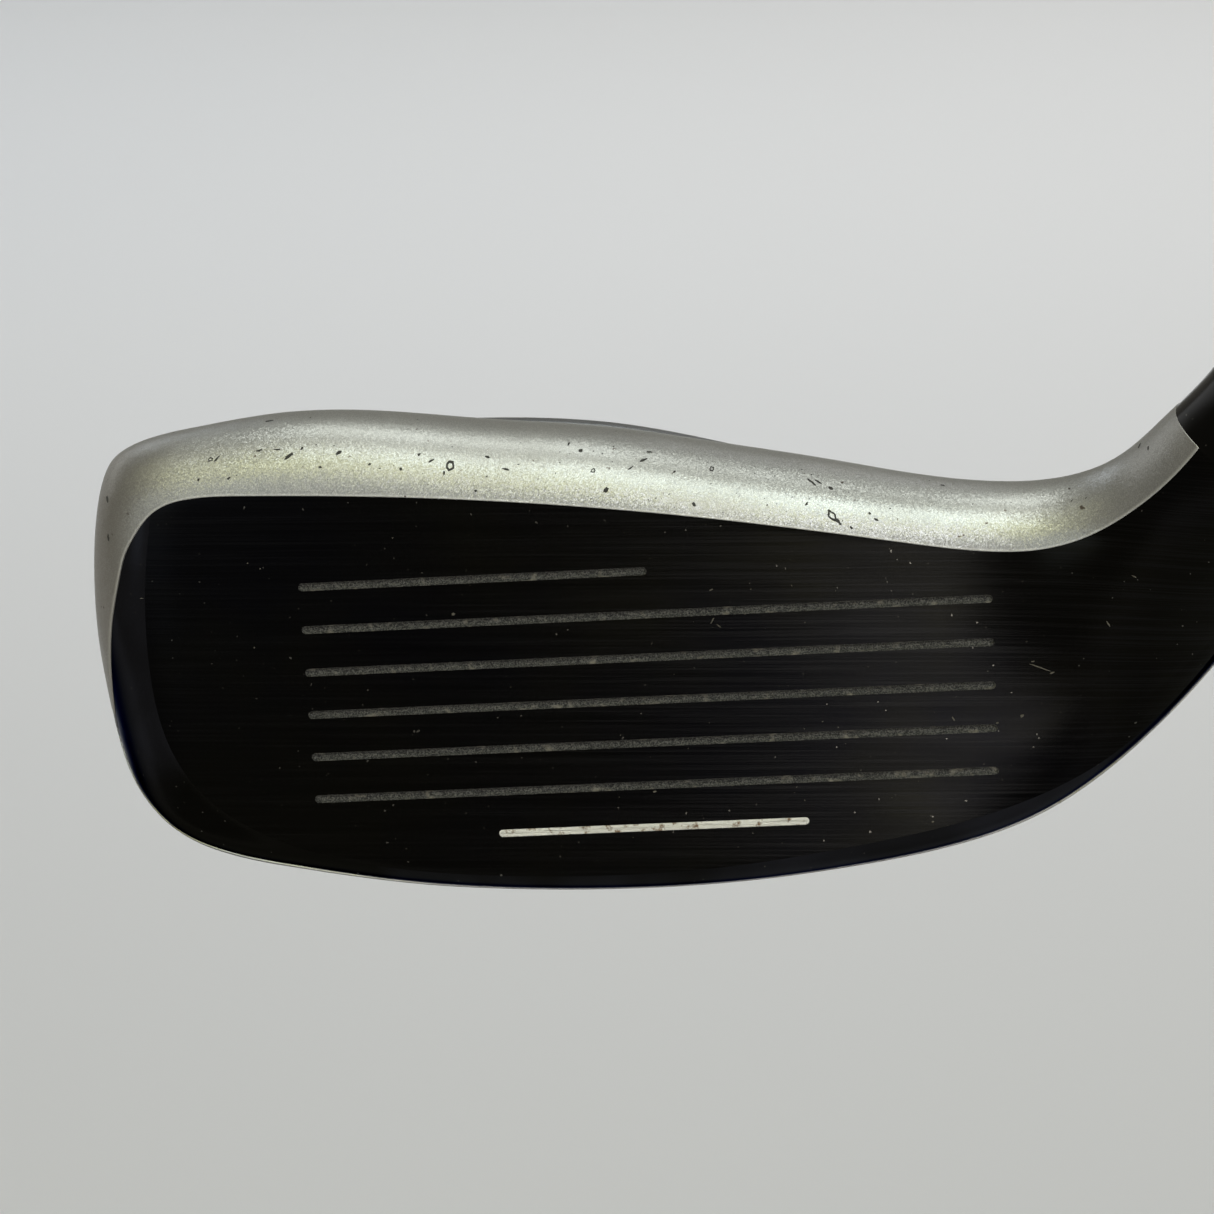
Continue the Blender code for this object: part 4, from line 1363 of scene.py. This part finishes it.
# Faint light from all round
SKY_COLOUR = (1.0, 0.95, 0.82, 1.0)
SKY_STRENGTH = 0.21
# The point that the lights round the head face, how far off they are, and their size in metres
HEAD_MIDDLE = np.array([2.0, 5.0, 25.0])
LIGHT_DISTANCE = 900.0
LIGHT_SIZE = 0.36
# Lights round the head: name, degrees round from the front towards the heel, degrees up, power, colour
SOFT_LIGHTS = (
    ("right_front_low", 25, 30, 1.75, (0.98, 0.99, 1.0)),
    ("left_front_low", -28, 22, 0.34, (0.86, 0.96, 1.0)),
    ("front", 0, 45, 0.34, (1.0, 1.0, 0.4)),
    ("right_front", 20, 45, 0.42, (0.6, 0.65, 1.0)),
    ("left_front", -15, 57, 0.5, (1.0, 1.0, 0.45)),
    ("right_high", 30, 70, 1.45, (0.88, 1.0, 0.95)),
    ("overhead", 0, 85, 0.62, (1.0, 1.0, 0.85)),
    ("left", -80, 57, 0.17, (1.0, 1.0, 0.6)),
    ("behind", 180, 60, 1.15, (0.95, 1.0, 0.93)),
)
# Lights on the floor behind the head: name, place, aim, power and colour
FLOOR_LIGHTS = (
    ("floor_right", (1100, 2700, 900), (200, 1400, -700), 4.3, (0.97, 0.98, 1.0)),
    ("floor_left", (-1500, 2900, 900), (-500, 1700, -700), 4.1, (0.84, 0.91, 1.0)),
    ("floor_far", (0, 3300, 900), (0, 2200, -700), 1.0, (1.0, 1.0, 1.0)),
)
FLOOR_LIGHT_SIZE = 1.2
FLOOR_LIGHT_SPREAD = 70.0
# Cards for one highlight each: name, place, aim, width, power, colour and height
CARDS = (
    ("low_card", (52, -600, 110), (28, 7, 19), 0.046, 0.13, (1.0, 0.97, 0.9), 0.2),
    ("hosel_card", (-740, 650, 140), (62, 10, 70), 0.6, 0.3, (0.95, 0.98, 1.0), 0.25),
)


def area_light(name, at, towards, size, power, colour=(1.0, 1.0, 1.0), height=None, spread=180.0):
    """A lamp that the camera can't see, placed and aimed in the address frame."""
    data = bpy.data.lights.new(name, "AREA")
    data.shape = "RECTANGLE"
    data.size = size
    data.size_y = height or size
    data.energy = power
    data.color = colour
    data.spread = math.radians(spread)
    made = link_object(name, data)
    made.location = place(*at)
    made.visible_camera = False
    made.rotation_euler = (place(*towards) - made.location).to_track_quat("-Z", "Y").to_euler()


def stage_piece(name, points, faces, look):
    made = add_object(name, points, faces, [look])
    return made


def room():
    """The pale floor, and a pale dome over it that closes every view."""
    paper = Nodes("pale_paper", (0.8, 0.8, 0.8), 0.9)
    paper.set(Base_Color=paper.mix(paper.noise(1.5, 3.0), (0.79, 0.795, 0.8), (0.81, 0.81, 0.805)))
    around = np.radians(np.arange(0, 360, 5))
    lifts = np.radians(np.arange(0, 91, 6))
    points = []
    for lift in lifts:
        out = ROOM_RADIUS * math.cos(lift)
        z = FLOOR_Z + ROOM_RADIUS * math.sin(lift)
        points += [place(out * math.cos(turn), out * math.sin(turn), z) for turn in around]
    count = len(around)
    stage_piece("floor", points[:count], [tuple(range(count))], paper.material)
    wall_look = Nodes("pale_backdrop", (0.0, 0.0, 0.0), 1.0, Emission_Strength=1.0)
    glow = wall_look.mix(wall_look.noise(0.4, 2.0), (0.54, 0.54, 0.535), (0.57, 0.57, 0.57))
    wall_look.set(Emission_Color=glow)
    # The camera alone sees the backdrop, so it neither lights the club nor shades the floor
    faces = grid_quads(len(lifts) - 1, count)[:, ::-1].tolist()
    wall = stage_piece("backdrop", points, faces, wall_look.material)
    wall.visible_diffuse = False
    wall.visible_glossy = False
    wall.visible_shadow = False


def lights():
    world = bpy.data.worlds.new("studio")
    bpy.context.scene.world = world
    world.use_nodes = True
    world.node_tree.nodes["Background"].inputs["Color"].default_value = SKY_COLOUR
    world.node_tree.nodes["Background"].inputs["Strength"].default_value = SKY_STRENGTH
    for name, turn, lift, power, colour in SOFT_LIGHTS:
        turn = math.radians(turn)
        lift = math.radians(lift)
        way = np.array([math.cos(lift) * math.sin(turn), -math.cos(lift) * math.cos(turn), math.sin(lift)])
        area_light(name, HEAD_MIDDLE + way * LIGHT_DISTANCE, HEAD_MIDDLE, LIGHT_SIZE, power, colour)
    for name, at, towards, power, colour in FLOOR_LIGHTS:
        area_light(name, at, towards, FLOOR_LIGHT_SIZE, power, colour, spread=FLOOR_LIGHT_SPREAD)
    for turn in CEILING_TURNS:
        x = CEILING_DISTANCE * math.sin(math.radians(turn))
        y = -CEILING_DISTANCE * math.cos(math.radians(turn))
        at = (x, y, CEILING_Z)
        towards = (x, y, FLOOR_Z)
        area_light("ceiling_panel", at, towards, CEILING_SIZE, CEILING_POWER, spread=CEILING_SPREAD)
    for card in CARDS:
        area_light(*card)
    bpy.context.scene.view_settings.view_transform = "Standard"


# Colours of the inner CAD nodes, which are shown as they are
INNER_COLOURS = {
    "rear_weight": (0.3, 0.3, 0.31),
    "hot_melt_pad": (0.5, 0.33, 0.12),
    "hosel_bond": (0.35, 0.36, 0.34),
    "tip_plug": (0.6, 0.6, 0.58),
    "grip_tape": (0.55, 0.47, 0.33),
}

camera()
skin_table, skin_triangles = head_pieces()
crown_panel()
skin_tree = BVHTree.FromPolygons([Vector(p) for p in skin_table[:, POS]], skin_triangles.tolist())
paint_chips(skin_tree)
face_dust(skin_tree)
ferrule()
shaft()
grip()
grip_cap()
for inner, inner_colour in INNER_COLOURS.items():
    inner_look = plain_plastic(inner + "_finish", inner_colour, 0.55, 1200.0, 0.00003)
    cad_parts[inner].data.materials.clear()
    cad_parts[inner].data.materials.append(inner_look)
room()
lights()
